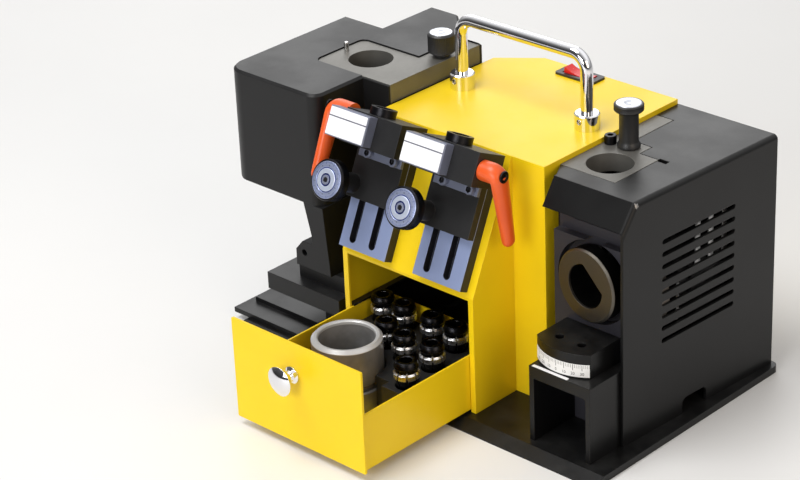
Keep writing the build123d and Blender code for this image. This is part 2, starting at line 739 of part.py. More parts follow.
# Setting gauges: the same set of pieces twice, at two places across the panel
def gauge(side, hub_side, arm_way):
    """Pieces of one gauge; hub_side is the lever's side, arm_way its arm's direction in Y and Z."""
    u = GAUGE_U[side]
    half = GAUGE_W / 2
    hub_length = LEVER_HUB_LENGTH[side]
    slots = [(u + place, middle(RAIL_SLOT_LOW, RAIL_SLOT_HIGH)) for place in RAIL_SLOT_PLACES]
    keys = [(u + place, middle(KEY_LOW, KEY_HIGH)) for place in RAIL_SLOT_PLACES]
    screws = [(u + place, CLAMP_V) for place in CAP_PLACES]
    dial_at = (u + DIAL_U, DIAL_V)
    slider_back = RAIL_T + SLIDE_GAP
    socket_floor = slider_back + DIAL_SOCKET_FLOOR
    hub_root = u + half + BLOCK_OVER if hub_side > 0 else u - half
    lever_at = (LEVER_V[side], LEVER_OUT)
    reach = LEVER_REACH[side]

    with BuildPart() as rail:
        with BuildSketch(on_panel(0)):
            with Locations((u, middle(RAIL_LOW, RAIL_HIGH))):
                Rectangle(GAUGE_W, RAIL_HIGH - RAIL_LOW)
        extrude(amount=RAIL_T)
        with BuildSketch(on_panel(RAIL_T)):
            with Locations(*slots):
                SlotOverall(RAIL_SLOT_HIGH - RAIL_SLOT_LOW, RAIL_SLOT, rotation=90)
        extrude(amount=-RAIL_SLOT_DEPTH, mode=Mode.SUBTRACT)
    hand_in(rail.part, f"{side}_gauge_rail")

    with BuildPart() as slider:
        with BuildSketch(across_panel(u - half)):
            with BuildLine():
                Polyline(
                    (SLIDER_LOW, slider_back), (BLOCK_HIGH, slider_back), (BLOCK_HIGH, BLOCK_OUT),
                    (BLOCK_LOW, BLOCK_OUT), (BLOCK_LOW, SLIDER_PLATE), (SLIDER_LOW, SLIDER_PLATE), close=True,
                )
            make_face()
        extrude(amount=GAUGE_W)
        with BuildSketch(across_panel(u + half)):
            with Locations((middle(BLOCK_LOW, BLOCK_HIGH), middle(slider_back, BLOCK_OUT))):
                Rectangle(BLOCK_HIGH - BLOCK_LOW, BLOCK_OUT - slider_back)
        extrude(amount=BLOCK_OVER)
        with BuildSketch(on_panel(slider_back)):
            with Locations(*keys):
                Rectangle(RAIL_SLOT - 2 * SLIDE_GAP, KEY_HIGH - KEY_LOW)
        extrude(amount=-KEY_DEPTH)
        with BuildSketch(on_panel(slider_back)):
            with Locations(dial_at):
                Circle(DIAL_BOSS_R)
        extrude(amount=DIAL_BOSS_OUT - slider_back)
        with BuildSketch(across_panel(hub_root)):
            with Locations(lever_at):
                Circle(STUD_R)
        extrude(amount=hub_side * STUD_LENGTH)
        with BuildSketch(Plane(origin=panel_point(u, BLOCK_HIGH, BUSH_OUT), x_dir=(1, 0, 0), z_dir=PANEL_UP)):
            Circle(BUSH_R + PUSH_FIT)
        extrude(amount=BLOCK_LOW - BLOCK_HIGH, mode=Mode.SUBTRACT)
        with BuildSketch(on_panel(SLIDER_PLATE)):
            with Locations(*screws):
                Circle(CAP_HOLE)
        extrude(amount=slider_back - SLIDER_PLATE, mode=Mode.SUBTRACT)
        with BuildSketch(on_panel(DIAL_BOSS_OUT)):
            with Locations(dial_at):
                Circle(DIAL_SHAFT + PIN_FIT)
        extrude(amount=socket_floor - DIAL_BOSS_OUT, mode=Mode.SUBTRACT)
    hand_in(slider.part, f"{side}_gauge_slider")

    with BuildPart() as clamp_bar:
        with BuildSketch(on_panel(SLIDER_PLATE)):
            with Locations((u + middle(CLAMP_LEFT, half), CLAMP_V)):
                Rectangle(half - CLAMP_LEFT, CLAMP_H)
            with Locations(*screws):
                Circle(CAP_HOLE, mode=Mode.SUBTRACT)
        extrude(amount=CLAMP_T)
    hand_in(clamp_bar.part, f"{side}_gauge_clamp_bar")

    head = SLIDER_PLATE + CLAMP_T
    with BuildPart() as cap_screws:
        with BuildSketch(on_panel(head)):
            with Locations(*screws):
                Circle(CAP_R)
        extrude(amount=CAP_H)
        with BuildSketch(on_panel(head)):
            with Locations(*screws):
                Circle(CAP_SHANK)
        extrude(amount=CAP_TIP - head)
        with BuildSketch(on_panel(head + CAP_H)):
            with Locations(*screws):
                RegularPolygon(CAP_HEX, 6)
        extrude(amount=-CAP_H / 2, mode=Mode.SUBTRACT)
    hand_in(cap_screws.part, f"{side}_gauge_cap_screws")

    with BuildPart() as scale_bracket:
        with BuildSketch(on_panel(BLOCK_OUT)):
            with Locations((u + middle(BRACKET_LEFT, BRACKET_RIGHT), middle(BRACKET_LOW, BRACKET_HIGH))):
                Rectangle(BRACKET_RIGHT - BRACKET_LEFT, BRACKET_HIGH - BRACKET_LOW)
        extrude(amount=BRACKET_T)
        front = scale_bracket.faces().sort_by(Axis(panel_point(0, 0, 0), PANEL_OUT))[-1]
        chamfer(front.edges(), BRACKET_EDGE)
    hand_in(scale_bracket.part, f"{side}_gauge_scale_bracket")

    with BuildPart() as guide_bush:
        with BuildSketch(Plane(origin=panel_point(u, BUSH_LOW, BUSH_OUT), x_dir=(1, 0, 0), z_dir=PANEL_UP)):
            Circle(BUSH_R)
            Circle(BUSH_BORE, mode=Mode.SUBTRACT)
        extrude(amount=BUSH_HIGH - BUSH_LOW)
    hand_in(guide_bush.part, f"{side}_gauge_guide_bush")

    dial_origin = panel_point(u + DIAL_U, DIAL_V, 0)
    with BuildPart() as dial:
        with BuildSketch(Plane(origin=dial_origin, x_dir=(1, 0, 0), z_dir=[-c for c in PANEL_UP])):
            with BuildLine():
                seat = DIAL_BOSS_OUT + SLIDE_GAP
                tip = socket_floor + SLIDE_GAP
                cap = DIAL_FACE + DIAL_CAP_H
                Polyline(
                    (0, tip), (DIAL_SHAFT, tip), (DIAL_SHAFT, seat), (DIAL_HUB, seat), (DIAL_HUB, DIAL_BACK),
                    (DIAL_R - DIAL_EDGE, DIAL_BACK), (DIAL_R, DIAL_BACK + DIAL_EDGE),
                    (DIAL_R, DIAL_FACE - DIAL_BEVEL), (DIAL_R - DIAL_BEVEL, DIAL_FACE),
                    (DIAL_CAP_R, DIAL_FACE), (DIAL_CAP_R, cap), (0, cap), close=True,
                )
            make_face()
        revolve(axis=Axis(dial_origin, PANEL_OUT))
    hand_in(dial.part, f"{side}_gauge_dial")

    hub_start = hub_root + hub_side * LET_IN
    hub_end = hub_start + hub_side * hub_length
    _, hub_y, hub_z = panel_point(u, *lever_at)
    with BuildPart() as lever:
        with BuildSketch(profile(hub_start)):
            with Locations((hub_y, hub_z)):
                Circle(LEVER_HUB)
        extrude(amount=hub_side * hub_length)
        with BuildSketch(profile(hub_end)):
            with Locations((hub_y, hub_z)):
                Circle(LEVER_HUB)
            with Locations((hub_y + reach * arm_way[0], hub_z + reach * arm_way[1])):
                Circle(LEVER_TIP)
            make_hull()
        extrude(amount=-hub_side * LEVER_ARM_T)
        fillet(lever.faces().sort_by(Axis.X)[-1 if hub_side > 0 else 0].edges(), LEVER_ROUND)
        with BuildSketch(profile(hub_start)):
            with Locations((hub_y, hub_z)):
                Circle(STUD_R + PIN_FIT)
        extrude(amount=hub_side * STUD_LENGTH, mode=Mode.SUBTRACT)
    hand_in(lever.part, f"{side}_gauge_lever")


gauge("left", -1, (-PANEL_UP[1], -PANEL_UP[2]))
gauge("right", 1, (sin(radians(LEVER_LEAN)), -cos(radians(LEVER_LEAN))))

# Left head: cast casing. Its plan is drawn once; walls, pocket and inside follow from it
with BuildSketch() as left_plan:
    with BuildLine():
        Polyline(
            (LEFT_X, LEFT_FRONT), (LEFT_BOX_X, LEFT_FRONT), (LEFT_BOX_X, LEFT_BOX_Y), (LEFT_SIDE, LEFT_BOX_Y),
            (LEFT_SIDE, LEFT_SIDE_Y), (LEFT_PLATE_TAIL_X, LEFT_SIDE_Y), (LEFT_TAIL_X, LEFT_REAR),
            (LEFT_BLOCK_X, LEFT_REAR), (LEFT_BLOCK_X, LEFT_WING_Y), (LEFT_X, LEFT_WING_Y), close=True,
        )
    make_face()
    fillet(left_plan.vertices().group_by(Axis.Y)[0].sort_by(Axis.X)[0], LEFT_ROUND)
    fillet(left_plan.vertices().group_by(Axis.Y)[0].sort_by(Axis.X)[-1], LEFT_ROUND_RIGHT)

with BuildSketch() as left_inner_plan:
    add(left_plan.sketch)
    offset(amount=-CAST, mode=Mode.REPLACE)

with BuildSketch() as left_plate_plan:
    with BuildLine():
        Polyline(
            (LEFT_PLATE_X, LEFT_PLATE_FRONT), (LEFT_PLATE_RIGHT, LEFT_PLATE_FRONT),
            (LEFT_PLATE_RIGHT, LEFT_PLATE_TAIL_Y), (LEFT_PLATE_TAIL_X, LEFT_PLATE_TAIL_Y),
            (LEFT_PLATE_TAIL_X, LEFT_PLATE_BACK), (LEFT_PLATE_X, LEFT_PLATE_BACK), close=True,
        )
    make_face()
    fillet(left_plate_plan.vertices().group_by(Axis.X)[0], PLATE_CORNER)

with BuildSketch() as left_pocket_plan:
    add(left_plate_plan.sketch)
    offset(amount=PLATE_GROOVE, kind=Kind.INTERSECTION, mode=Mode.REPLACE)

with BuildSketch() as left_pocket_walls:
    add(left_plate_plan.sketch)
    offset(amount=PLATE_GROOVE + CAST, kind=Kind.INTERSECTION, mode=Mode.REPLACE)

POCKET_FLOOR = LEFT_PLATE_LOW - CAST
with BuildPart() as left_cavity:
    with BuildSketch(level(LEFT_LOW + CAST)):
        add(left_inner_plan.sketch)
    extrude(amount=POCKET_FLOOR - LEFT_LOW - CAST)
    with BuildSketch(level(POCKET_FLOOR)):
        add(left_inner_plan.sketch)
        add(left_pocket_walls.sketch, mode=Mode.SUBTRACT)
    extrude(amount=LEFT_TOP - CAST - POCKET_FLOOR)
    with BuildSketch(facing(LEFT_REAR)) as left_inner_front:
        with Locations((middle(LEFT_X, LEFT_SIDE), middle(LEFT_LOW, LEFT_TOP))):
            Rectangle(LEFT_SIDE - LEFT_X - 2 * CAST, LEFT_TOP - LEFT_LOW - 2 * CAST)
        fillet(left_inner_front.vertices().group_by(Axis.Y)[0].sort_by(Axis.X)[0], LEFT_UNDER_ROUND - CAST)
    extrude(amount=LEFT_REAR - LEFT_FRONT, mode=Mode.INTERSECT)

with BuildPart() as left_head_casing:
    with BuildSketch(level(LEFT_LOW)):
        add(left_plan.sketch)
    extrude(amount=LEFT_TOP - LEFT_LOW)
    chamfer(left_head_casing.faces().sort_by(Axis.Z)[-1].edges(), LEFT_EDGE)
    with BuildSketch(facing(LEFT_REAR)) as left_outer_front:
        with Locations((middle(LEFT_X, LEFT_SIDE), middle(LEFT_LOW, LEFT_TOP))):
            Rectangle(LEFT_SIDE - LEFT_X, LEFT_TOP - LEFT_LOW)
        fillet(left_outer_front.vertices().group_by(Axis.Y)[0].sort_by(Axis.X)[0], LEFT_UNDER_ROUND)
    extrude(amount=LEFT_REAR - LEFT_FRONT, mode=Mode.INTERSECT)
    add(left_cavity.part, mode=Mode.SUBTRACT)
    with BuildSketch(level(LEFT_PLATE_LOW)):
        add(left_pocket_plan.sketch)
    extrude(amount=LEFT_TOP - LEFT_PLATE_LOW, mode=Mode.SUBTRACT)
    with BuildSketch(level(LEFT_PLATE_LOW)):
        with Locations(LEFT_PORT):
            Circle(CHAMBER_R)
    extrude(amount=-CAST, mode=Mode.SUBTRACT)
    with BuildSketch(level(LEFT_LOW)):
        with Locations((middle(HATCH[0], HATCH[1]), middle(HATCH[2], HATCH[3]))):
            Rectangle(HATCH[1] - HATCH[0], HATCH[3] - HATCH[2])
    extrude(amount=CAST, mode=Mode.SUBTRACT)
hand_in(left_head_casing.part, "left_head_casing")

with BuildPart() as left_bottom_plate:
    with BuildSketch(level(LEFT_LOW + CAST)):
        with Locations((middle(HATCH[0], HATCH[1]), middle(HATCH[2], HATCH[3]))):
            Rectangle(HATCH[1] - HATCH[0] + 2 * HATCH_LAP, HATCH[3] - HATCH[2] + 2 * HATCH_LAP)
    extrude(amount=HATCH_T)
hand_in(left_bottom_plate.part, "left_bottom_plate")

with BuildPart() as left_port_plate:
    with BuildSketch(level(LEFT_PLATE_LOW)):
        add(left_plate_plan.sketch)
        with Locations(LEFT_PORT):
            Circle(PORT_R, mode=Mode.SUBTRACT)
    extrude(amount=LEFT_PLATE_TOP - LEFT_PLATE_LOW)
    with BuildSketch(level(LEFT_PLATE_TOP)):
        with Locations(LEFT_KNOB):
            Circle(KNOB_PIN_R + PIN_FIT)
    extrude(amount=-KNOB_PIN_DEPTH, mode=Mode.SUBTRACT)
hand_in(left_port_plate.part, "left_port_plate")

with BuildPart() as left_port_knob:
    with BuildSketch(Plane(origin=(*LEFT_KNOB, LEFT_PLATE_TOP), x_dir=(1, 0, 0), z_dir=(0, -1, 0))):
        with BuildLine():
            low = SLIDE_GAP
            Polyline(
                (0, KNOB_PIN_LOW), (KNOB_PIN_R, KNOB_PIN_LOW), (KNOB_PIN_R, low), (LEFT_KNOB_FOOT_R, low),
                (LEFT_KNOB_FOOT_R, KNOB_FOOT_T), (LEFT_KNOB_R - KNOB_EDGE, KNOB_FOOT_T),
                (LEFT_KNOB_R, KNOB_FOOT_T + KNOB_EDGE), (LEFT_KNOB_R, LEFT_KNOB_H - LEFT_KNOB_BEVEL),
                (LEFT_KNOB_R - LEFT_KNOB_BEVEL, LEFT_KNOB_H), (0, LEFT_KNOB_H), close=True,
            )
        make_face()
    revolve(axis=Axis((*LEFT_KNOB, 0), (0, 0, 1)))
hand_in(left_port_knob.part, "left_port_knob")

with BuildPart() as left_stop_pin:
    with BuildSketch(level(LEFT_PLATE_TOP)):
        with Locations(STOP_PIN):
            Circle(STOP_PIN_R)
    extrude(amount=STOP_PIN_H)
    fillet(left_stop_pin.edges().sort_by(Axis.Z)[-1], STOP_PIN_R / 2)
hand_in(left_stop_pin.part, "left_stop_pin")

# Column and stepped pedestal that carry the left head
with BuildPart() as left_column:
    with BuildSketch(facing(COLUMN_BACK)):
        with BuildLine():
            Polyline(
                (COLUMN_X + COLUMN_TOP_RIGHT, LEFT_LOW), (COLUMN_X + COLUMN_FOOT_RIGHT, COLUMN_FOOT),
                (COLUMN_X + SHOE_LEFT, COLUMN_FOOT), (COLUMN_X + SHOE_LEFT, COLUMN_FOOT + SHOE_SIDE_H),
                (COLUMN_X + SHOE_TOP_LEFT, COLUMN_FOOT + SHOE_H),
                (COLUMN_X + COLUMN_WAIST, COLUMN_FOOT + SHOE_H),
                (COLUMN_X + COLUMN_WAIST, COLUMN_FOOT + COLUMN_WAIST_H),
                (COLUMN_X + COLUMN_TOP_LEFT, LEFT_LOW),
                close=True,
            )
        make_face()
    extrude(amount=COLUMN_BACK - LEFT_FRONT)
    with BuildSketch(facing(LEFT_FRONT)):
        with Locations((COLUMN_X + COLUMN_HOLE[0], COLUMN_FOOT + COLUMN_HOLE[1])):
            Circle(COLUMN_HOLE_R)
    extrude(amount=-COLUMN_HOLE_DEPTH, mode=Mode.SUBTRACT)
hand_in(left_column.part, "left_column")

with BuildPart() as left_pedestal:
    with BuildSketch(level(BASE_TOP)):
        with Locations((middle(PEDESTAL_LEFT, PEDESTAL_RIGHT), middle(PEDESTAL_FRONT, PEDESTAL_BACK))):
            Rectangle(PEDESTAL_RIGHT - PEDESTAL_LEFT, PEDESTAL_BACK - PEDESTAL_FRONT)
    extrude(amount=LEDGE_LOW - BASE_TOP)
    with BuildSketch(level(LEDGE_LOW)):
        with Locations((middle(LEDGE_LEFT, PEDESTAL_RIGHT), middle(LEDGE_FRONT, PEDESTAL_BACK))):
            Rectangle(PEDESTAL_RIGHT - LEDGE_LEFT, PEDESTAL_BACK - LEDGE_FRONT)
    extrude(amount=LEDGE_TOP - LEDGE_LOW)
    with BuildSketch(level(LEDGE_TOP)):
        with Locations((middle(STEP_LEFT, PEDESTAL_RIGHT), middle(STEP_FRONT, COLUMN_BACK + STEP_BEYOND))):
            Rectangle(PEDESTAL_RIGHT - STEP_LEFT, COLUMN_BACK + STEP_BEYOND - STEP_FRONT)
    extrude(amount=COLUMN_FOOT - LEDGE_TOP)
hand_in(left_pedestal.part, "left_pedestal")

with BuildPart() as left_foot_block:
    with BuildSketch(level(BASE_TOP)):
        with Locations((middle(FOOT_LEFT, FOOT_RIGHT), middle(FOOT_FRONT, FOOT_BACK))):
            Rectangle(FOOT_RIGHT - FOOT_LEFT, FOOT_BACK - FOOT_FRONT)
    extrude(amount=FOOT_TOP - BASE_TOP)
    with BuildSketch(level(FOOT_TOP)):
        with Locations((middle(FOOT_RIDGE_LEFT, FOOT_RIGHT), middle(FOOT_RIDGE_FRONT, FOOT_BACK))):
            Rectangle(FOOT_RIGHT - FOOT_RIDGE_LEFT, FOOT_BACK - FOOT_RIDGE_FRONT)
    extrude(amount=FOOT_RIDGE_TOP - FOOT_TOP)
hand_in(left_foot_block.part, "left_foot_block")


# Spindles: both heads turn a dished wheel on a shaft along Y
def wheel_set(side, axis_at, wheel_r, shaft_back):
    """Shaft, dished wheel and nut; the wheel's working face looks to the front or the back alike."""
    x, z = axis_at
    line = Axis((x, 0, z), (0, -1, 0))
    plane = Plane(origin=(x, 0, z), x_dir=(1, 0, 0), z_dir=(0, 0, 1))
    wheel_back = WHEEL_FRONT + WHEEL_T
    toward = 1 if shaft_back > wheel_back else -1
    seat, outer = (wheel_back, WHEEL_FRONT) if toward > 0 else (WHEEL_FRONT, wheel_back)
    nose = outer - toward * (NUT_H + NOSE_PAST_NUT)

    with BuildPart() as spindle:
        with BuildSketch(plane):
            with BuildLine():
                Polyline(
                    (0, shaft_back), (SPINDLE_R, shaft_back), (SPINDLE_R, seat + toward * 4),
                    (SPINDLE_R + SHOULDER, seat + toward * SHOULDER_T), (SPINDLE_R + SHOULDER, seat),
                    (SPINDLE_R, seat), (SPINDLE_R, nose), (0, nose), close=True,
                )
            make_face()
        revolve(axis=line)
    hand_in(spindle.part, f"{side}_spindle")

    with BuildPart() as wheel:
        with BuildSketch(plane):
            with BuildLine():
                Polyline(
                    (SPINDLE_R + PUSH_FIT, WHEEL_FRONT), (WHEEL_HUB_R, WHEEL_FRONT),
                    (WHEEL_HUB_R + WHEEL_HUB_SLOPE, WHEEL_FRONT + WHEEL_DISH),
                    (wheel_r - WHEEL_RIM - WHEEL_RIM_SLOPE, WHEEL_FRONT + WHEEL_DISH),
                    (wheel_r - WHEEL_RIM, WHEEL_FRONT), (wheel_r, WHEEL_FRONT), (wheel_r, wheel_back),
                    (SPINDLE_R + PUSH_FIT, wheel_back), close=True,
                )
            make_face()
        revolve(axis=line)
    hand_in(wheel.part, f"{side}_wheel")

    with BuildPart() as wheel_nut:
        with BuildSketch(facing(outer)):
            with Locations((x, z)):
                RegularPolygon(NUT_R, 6)
                Circle(SPINDLE_R + PUSH_FIT, mode=Mode.SUBTRACT)
        extrude(amount=toward * NUT_H)
    hand_in(wheel_nut.part, f"{side}_wheel_nut")


wheel_set("left", LEFT_AXIS, LEFT_WHEEL_R, LEFT_PLATE_Y - MOTOR_BORE_DEPTH + 1)
wheel_set("right", RIGHT_AXIS, RIGHT_WHEEL_R, RIGHT_MOTOR_FRONT + MOTOR_BORE_DEPTH - 1)

with BuildPart() as left_bearing_plate:
    with BuildSketch(facing(LEFT_PLATE_Y)) as bulkhead:
        with Locations((middle(LEFT_X, LEFT_BOX_X), middle(LEFT_LOW + CAST + HATCH_T, POCKET_FLOOR))):
            Rectangle(LEFT_BOX_X - LEFT_X - 2 * CAST - 2 * LET_IN, POCKET_FLOOR - LEFT_LOW - CAST - HATCH_T)
        fillet(bulkhead.vertices().group_by(Axis.Y)[0].sort_by(Axis.X)[0], LEFT_UNDER_ROUND - CAST)
        with Locations(LEFT_AXIS):
            Circle(SPINDLE_R + PIN_FIT, mode=Mode.SUBTRACT)
    extrude(amount=-LEFT_PLATE_T)
hand_in(left_bearing_plate.part, "left_bearing_plate")

with BuildPart() as left_motor:
    with BuildSketch(Plane(origin=(LEFT_AXIS[0], 0, LEFT_AXIS[1]), x_dir=(1, 0, 0), z_dir=(0, 0, 1))):
        with BuildLine():
            bore_end = LEFT_PLATE_Y - MOTOR_BORE_DEPTH
            bell_r = LEFT_MOTOR_R - MOTOR_BELL_STEP
            Polyline(
                (0, LEFT_MOTOR_FRONT), (bell_r, LEFT_MOTOR_FRONT), (bell_r, LEFT_MOTOR_FRONT + MOTOR_BELL),
                (LEFT_MOTOR_R, LEFT_MOTOR_FRONT + MOTOR_BELL), (LEFT_MOTOR_R, LEFT_PLATE_Y - MOTOR_BELL),
                (bell_r, LEFT_PLATE_Y - MOTOR_BELL), (bell_r, LEFT_PLATE_Y),
                (SPINDLE_R + PIN_FIT, LEFT_PLATE_Y),
                (SPINDLE_R + PIN_FIT, bore_end), (0, bore_end), close=True,
            )
        make_face()
    revolve(axis=Axis((LEFT_AXIS[0], 0, LEFT_AXIS[1]), (0, -1, 0)))
hand_in(left_motor.part, "left_motor")

with BuildPart() as right_motor:
    with BuildSketch(Plane(origin=(RIGHT_AXIS[0], 0, RIGHT_AXIS[1]), x_dir=(1, 0, 0), z_dir=(0, 0, 1))):
        with BuildLine():
            bore_end = RIGHT_MOTOR_FRONT + MOTOR_BORE_DEPTH
            bell_r = RIGHT_MOTOR_R - MOTOR_BELL_STEP
            Polyline(
                (0, RIGHT_MOTOR_BACK), (bell_r, RIGHT_MOTOR_BACK), (bell_r, RIGHT_MOTOR_BACK - MOTOR_BELL),
                (RIGHT_MOTOR_R, RIGHT_MOTOR_BACK - MOTOR_BELL),
                (RIGHT_MOTOR_R, RIGHT_MOTOR_FRONT + MOTOR_BELL),
                (bell_r, RIGHT_MOTOR_FRONT + MOTOR_BELL), (bell_r, RIGHT_MOTOR_FRONT),
                (SPINDLE_R + PIN_FIT, RIGHT_MOTOR_FRONT), (SPINDLE_R + PIN_FIT, bore_end), (0, bore_end),
                close=True,
            )
        make_face()
    revolve(axis=Axis((RIGHT_AXIS[0], 0, RIGHT_AXIS[1]), (0, -1, 0)))
    with BuildSketch(level(BASE_TOP)):
        with Locations((RIGHT_AXIS[0], middle(RIGHT_MOTOR_FRONT, RIGHT_MOTOR_BACK))):
            Rectangle(MOTOR_FOOT_W, MOTOR_FOOT_L)
    extrude(until=Until.NEXT)
hand_in(right_motor.part, "right_motor")

# Right head: flared casing with a visor; plan and side view give its form together
with BuildSketch() as right_plan:
    with BuildLine():
        Polyline(
            (RIGHT_X, RIGHT_CUT_BACK), (RIGHT_CUT_X, RIGHT_CUT_FRONT), (RIGHT_CUT_X, RIGHT_FRONT),
            (RIGHT_FRONT_X, RIGHT_FRONT), (RIGHT_BACK_X, HOUSE_BACK), (RIGHT_X, HOUSE_BACK), close=True,
        )
    make_face()

with BuildSketch() as right_inner_plan:
    add(right_plan.sketch)
    offset(amount=-CASE, kind=Kind.INTERSECTION, mode=Mode.REPLACE)

with BuildSketch() as right_plate_plan:
    with BuildLine():
        Polyline(
            (RIGHT_X, RIGHT_PLATE_FRONT), (RIGHT_PLATE_X, RIGHT_PLATE_FRONT),
            (RIGHT_PLATE_X, RIGHT_PLATE_BACK), (RIGHT_LOBE_X, RIGHT_PLATE_BACK),
            (RIGHT_LOBE_X, RIGHT_LOBE_Y), (RIGHT_TAIL_X, RIGHT_LOBE_Y),
            (RIGHT_TAIL_X, RIGHT_TAIL_Y), (RIGHT_X, RIGHT_TAIL_Y), close=True,
        )
    make_face()

with BuildSketch() as right_pocket_plan:
    add(right_plate_plan.sketch)
    offset(amount=PLATE_GROOVE, kind=Kind.INTERSECTION, mode=Mode.REPLACE)

with BuildSketch() as right_pocket_walls:
    add(right_plate_plan.sketch)
    offset(amount=PLATE_GROOVE + CASE, kind=Kind.INTERSECTION, mode=Mode.REPLACE)

VISOR_LEAN = atan2(VISOR_Y - RIGHT_FRONT, RIGHT_TOP - VISOR_Z)
VISOR_INSET = CASE / cos(VISOR_LEAN)
VISOR_RUN = (VISOR_Y - RIGHT_FRONT) / (RIGHT_TOP - VISOR_Z)
RIGHT_FLOOR = RIGHT_PLATE_LOW - CASE
with BuildPart() as right_cavity:
    with BuildSketch(profile(RIGHT_X)):
        with BuildLine():
            Polyline(
                (RIGHT_FRONT, BASE_TOP), (HOUSE_BACK, BASE_TOP), (HOUSE_BACK, RIGHT_TOP - CASE),
                (VISOR_Y + VISOR_INSET - CASE * VISOR_RUN, RIGHT_TOP - CASE),
                (RIGHT_FRONT + VISOR_INSET, VISOR_Z),
                (RIGHT_FRONT, VISOR_Z), close=True,
            )
        make_face()
    extrude(amount=RIGHT_BACK_X - RIGHT_X)
    with BuildSketch(level(BASE_TOP)):
        add(right_inner_plan.sketch)
    extrude(amount=RIGHT_TOP - BASE_TOP, mode=Mode.INTERSECT)
    with BuildSketch(level(RIGHT_FLOOR)):
        add(right_pocket_walls.sketch)
    extrude(amount=RIGHT_TOP - RIGHT_FLOOR, mode=Mode.SUBTRACT)

FLARE = (RIGHT_BACK_X - RIGHT_FRONT_X) / (HOUSE_BACK - RIGHT_FRONT)
ALCOVE_SIDE = RIGHT_FRONT_X - CASE
with BuildPart() as right_casing:
    with BuildSketch(profile(RIGHT_X)):
        with BuildLine():
            Polyline(
                (RIGHT_FRONT, BASE_TOP), (HOUSE_BACK, BASE_TOP), (HOUSE_BACK, RIGHT_TOP),
                (VISOR_Y, RIGHT_TOP), (RIGHT_FRONT, VISOR_Z), close=True,
            )
        make_face()
    extrude(amount=RIGHT_BACK_X - RIGHT_X)
    with BuildSketch(level(BASE_TOP)):
        add(right_plan.sketch)
    extrude(amount=RIGHT_TOP - BASE_TOP, mode=Mode.INTERSECT)
    flank = right_casing.faces().sort_by(Axis.X)[-1]
    fillet(flank.edges().filter_by(lambda edge: edge.center().Z > VISOR_Z), RIGHT_EDGE)
    add(right_cavity.part, mode=Mode.SUBTRACT)
    with BuildSketch(level(BASE_TOP)):
        with BuildLine():
            Polyline(
                (RIGHT_X, RIGHT_FRONT), (ALCOVE_SIDE, RIGHT_FRONT),
                (ALCOVE_SIDE + FLARE * (ALCOVE_BACK - RIGHT_FRONT), ALCOVE_BACK), (RIGHT_X, ALCOVE_BACK),
                close=True,
            )
        make_face()
    extrude(amount=VISOR_Z - BASE_TOP, mode=Mode.SUBTRACT)
    with BuildSketch(level(RIGHT_PLATE_LOW)):
        add(right_pocket_plan.sketch)
    extrude(amount=RIGHT_TOP - RIGHT_PLATE_LOW, mode=Mode.SUBTRACT)
    with BuildSketch(level(RIGHT_TOP)):
        with Locations((RIGHT_PLATE_X + PLATE_NOTCH_W / 2, RIGHT_PLATE_BACK)):
            Rectangle(PLATE_NOTCH_W, PLATE_NOTCH_H)
    extrude(amount=-CASE, mode=Mode.SUBTRACT)
    with BuildSketch(level(RIGHT_PLATE_LOW)):
        with Locations(RIGHT_PORT):
            Circle(CHAMBER_R)
    extrude(amount=-CASE, mode=Mode.SUBTRACT)
    with BuildSketch(profile(RIGHT_BACK_X)):
        with Locations((VENT_Y, VENT_LOW + VENT_PITCH * (VENT_COUNT - 1) / 2)):
            with GridLocations(0, VENT_PITCH, 1, VENT_COUNT):
                SlotOverall(VENT_LENGTH, VENT_H)
    extrude(amount=RIGHT_FRONT_X - RIGHT_BACK_X - CASE, mode=Mode.SUBTRACT)
    with BuildSketch(profile(RIGHT_BACK_X)) as notch:
        with Locations((NOTCH_Y, BASE_TOP + NOTCH_H / 2)):
            Rectangle(NOTCH_W, NOTCH_H)
        fillet(notch.vertices().group_by(Axis.Y)[-1], NOTCH_ROUND)
    extrude(amount=RIGHT_FRONT_X - RIGHT_BACK_X - CASE, mode=Mode.SUBTRACT)
hand_in(right_casing.part, "right_casing")

with BuildPart() as right_port_plate:
    with BuildSketch(level(RIGHT_PLATE_LOW)):
        add(right_plate_plan.sketch)
        with Locations(RIGHT_PORT):
            Circle(PORT_R, mode=Mode.SUBTRACT)
    extrude(amount=RIGHT_TOP - RIGHT_PLATE_LOW)
    with BuildSketch(level(RIGHT_TOP)):
        with Locations(RIGHT_KNOB):
            Circle(KNOB_PIN_R + PIN_FIT)
    extrude(amount=-KNOB_PIN_DEPTH, mode=Mode.SUBTRACT)
hand_in(right_port_plate.part, "right_port_plate")

with BuildPart() as right_port_knob:
    with BuildSketch(Plane(origin=(*RIGHT_KNOB, RIGHT_TOP), x_dir=(1, 0, 0), z_dir=(0, -1, 0))):
        with BuildLine():
            low = SLIDE_GAP
            high = RIGHT_KNOB_TOP - RIGHT_TOP
            under = high - RIGHT_KNOB_HEAD_H
            Polyline(
                (0, KNOB_PIN_LOW), (KNOB_PIN_R, KNOB_PIN_LOW), (KNOB_PIN_R, low), (RIGHT_KNOB_FOOT_R, low),
                (RIGHT_KNOB_FOOT_R, KNOB_FOOT_T), (RIGHT_KNOB_STEM, RIGHT_KNOB_NECK),
                (RIGHT_KNOB_STEM, under), (RIGHT_KNOB_HEAD - KNOB_EDGE, under),
                (RIGHT_KNOB_HEAD, under + KNOB_EDGE),
                (RIGHT_KNOB_HEAD, high - RIGHT_KNOB_BEVEL), (RIGHT_KNOB_HEAD - RIGHT_KNOB_BEVEL, high),
                (0, high), close=True,
            )
        make_face()
    revolve(axis=Axis((*RIGHT_KNOB, 0), (0, 0, 1)))
hand_in(right_port_knob.part, "right_port_knob")

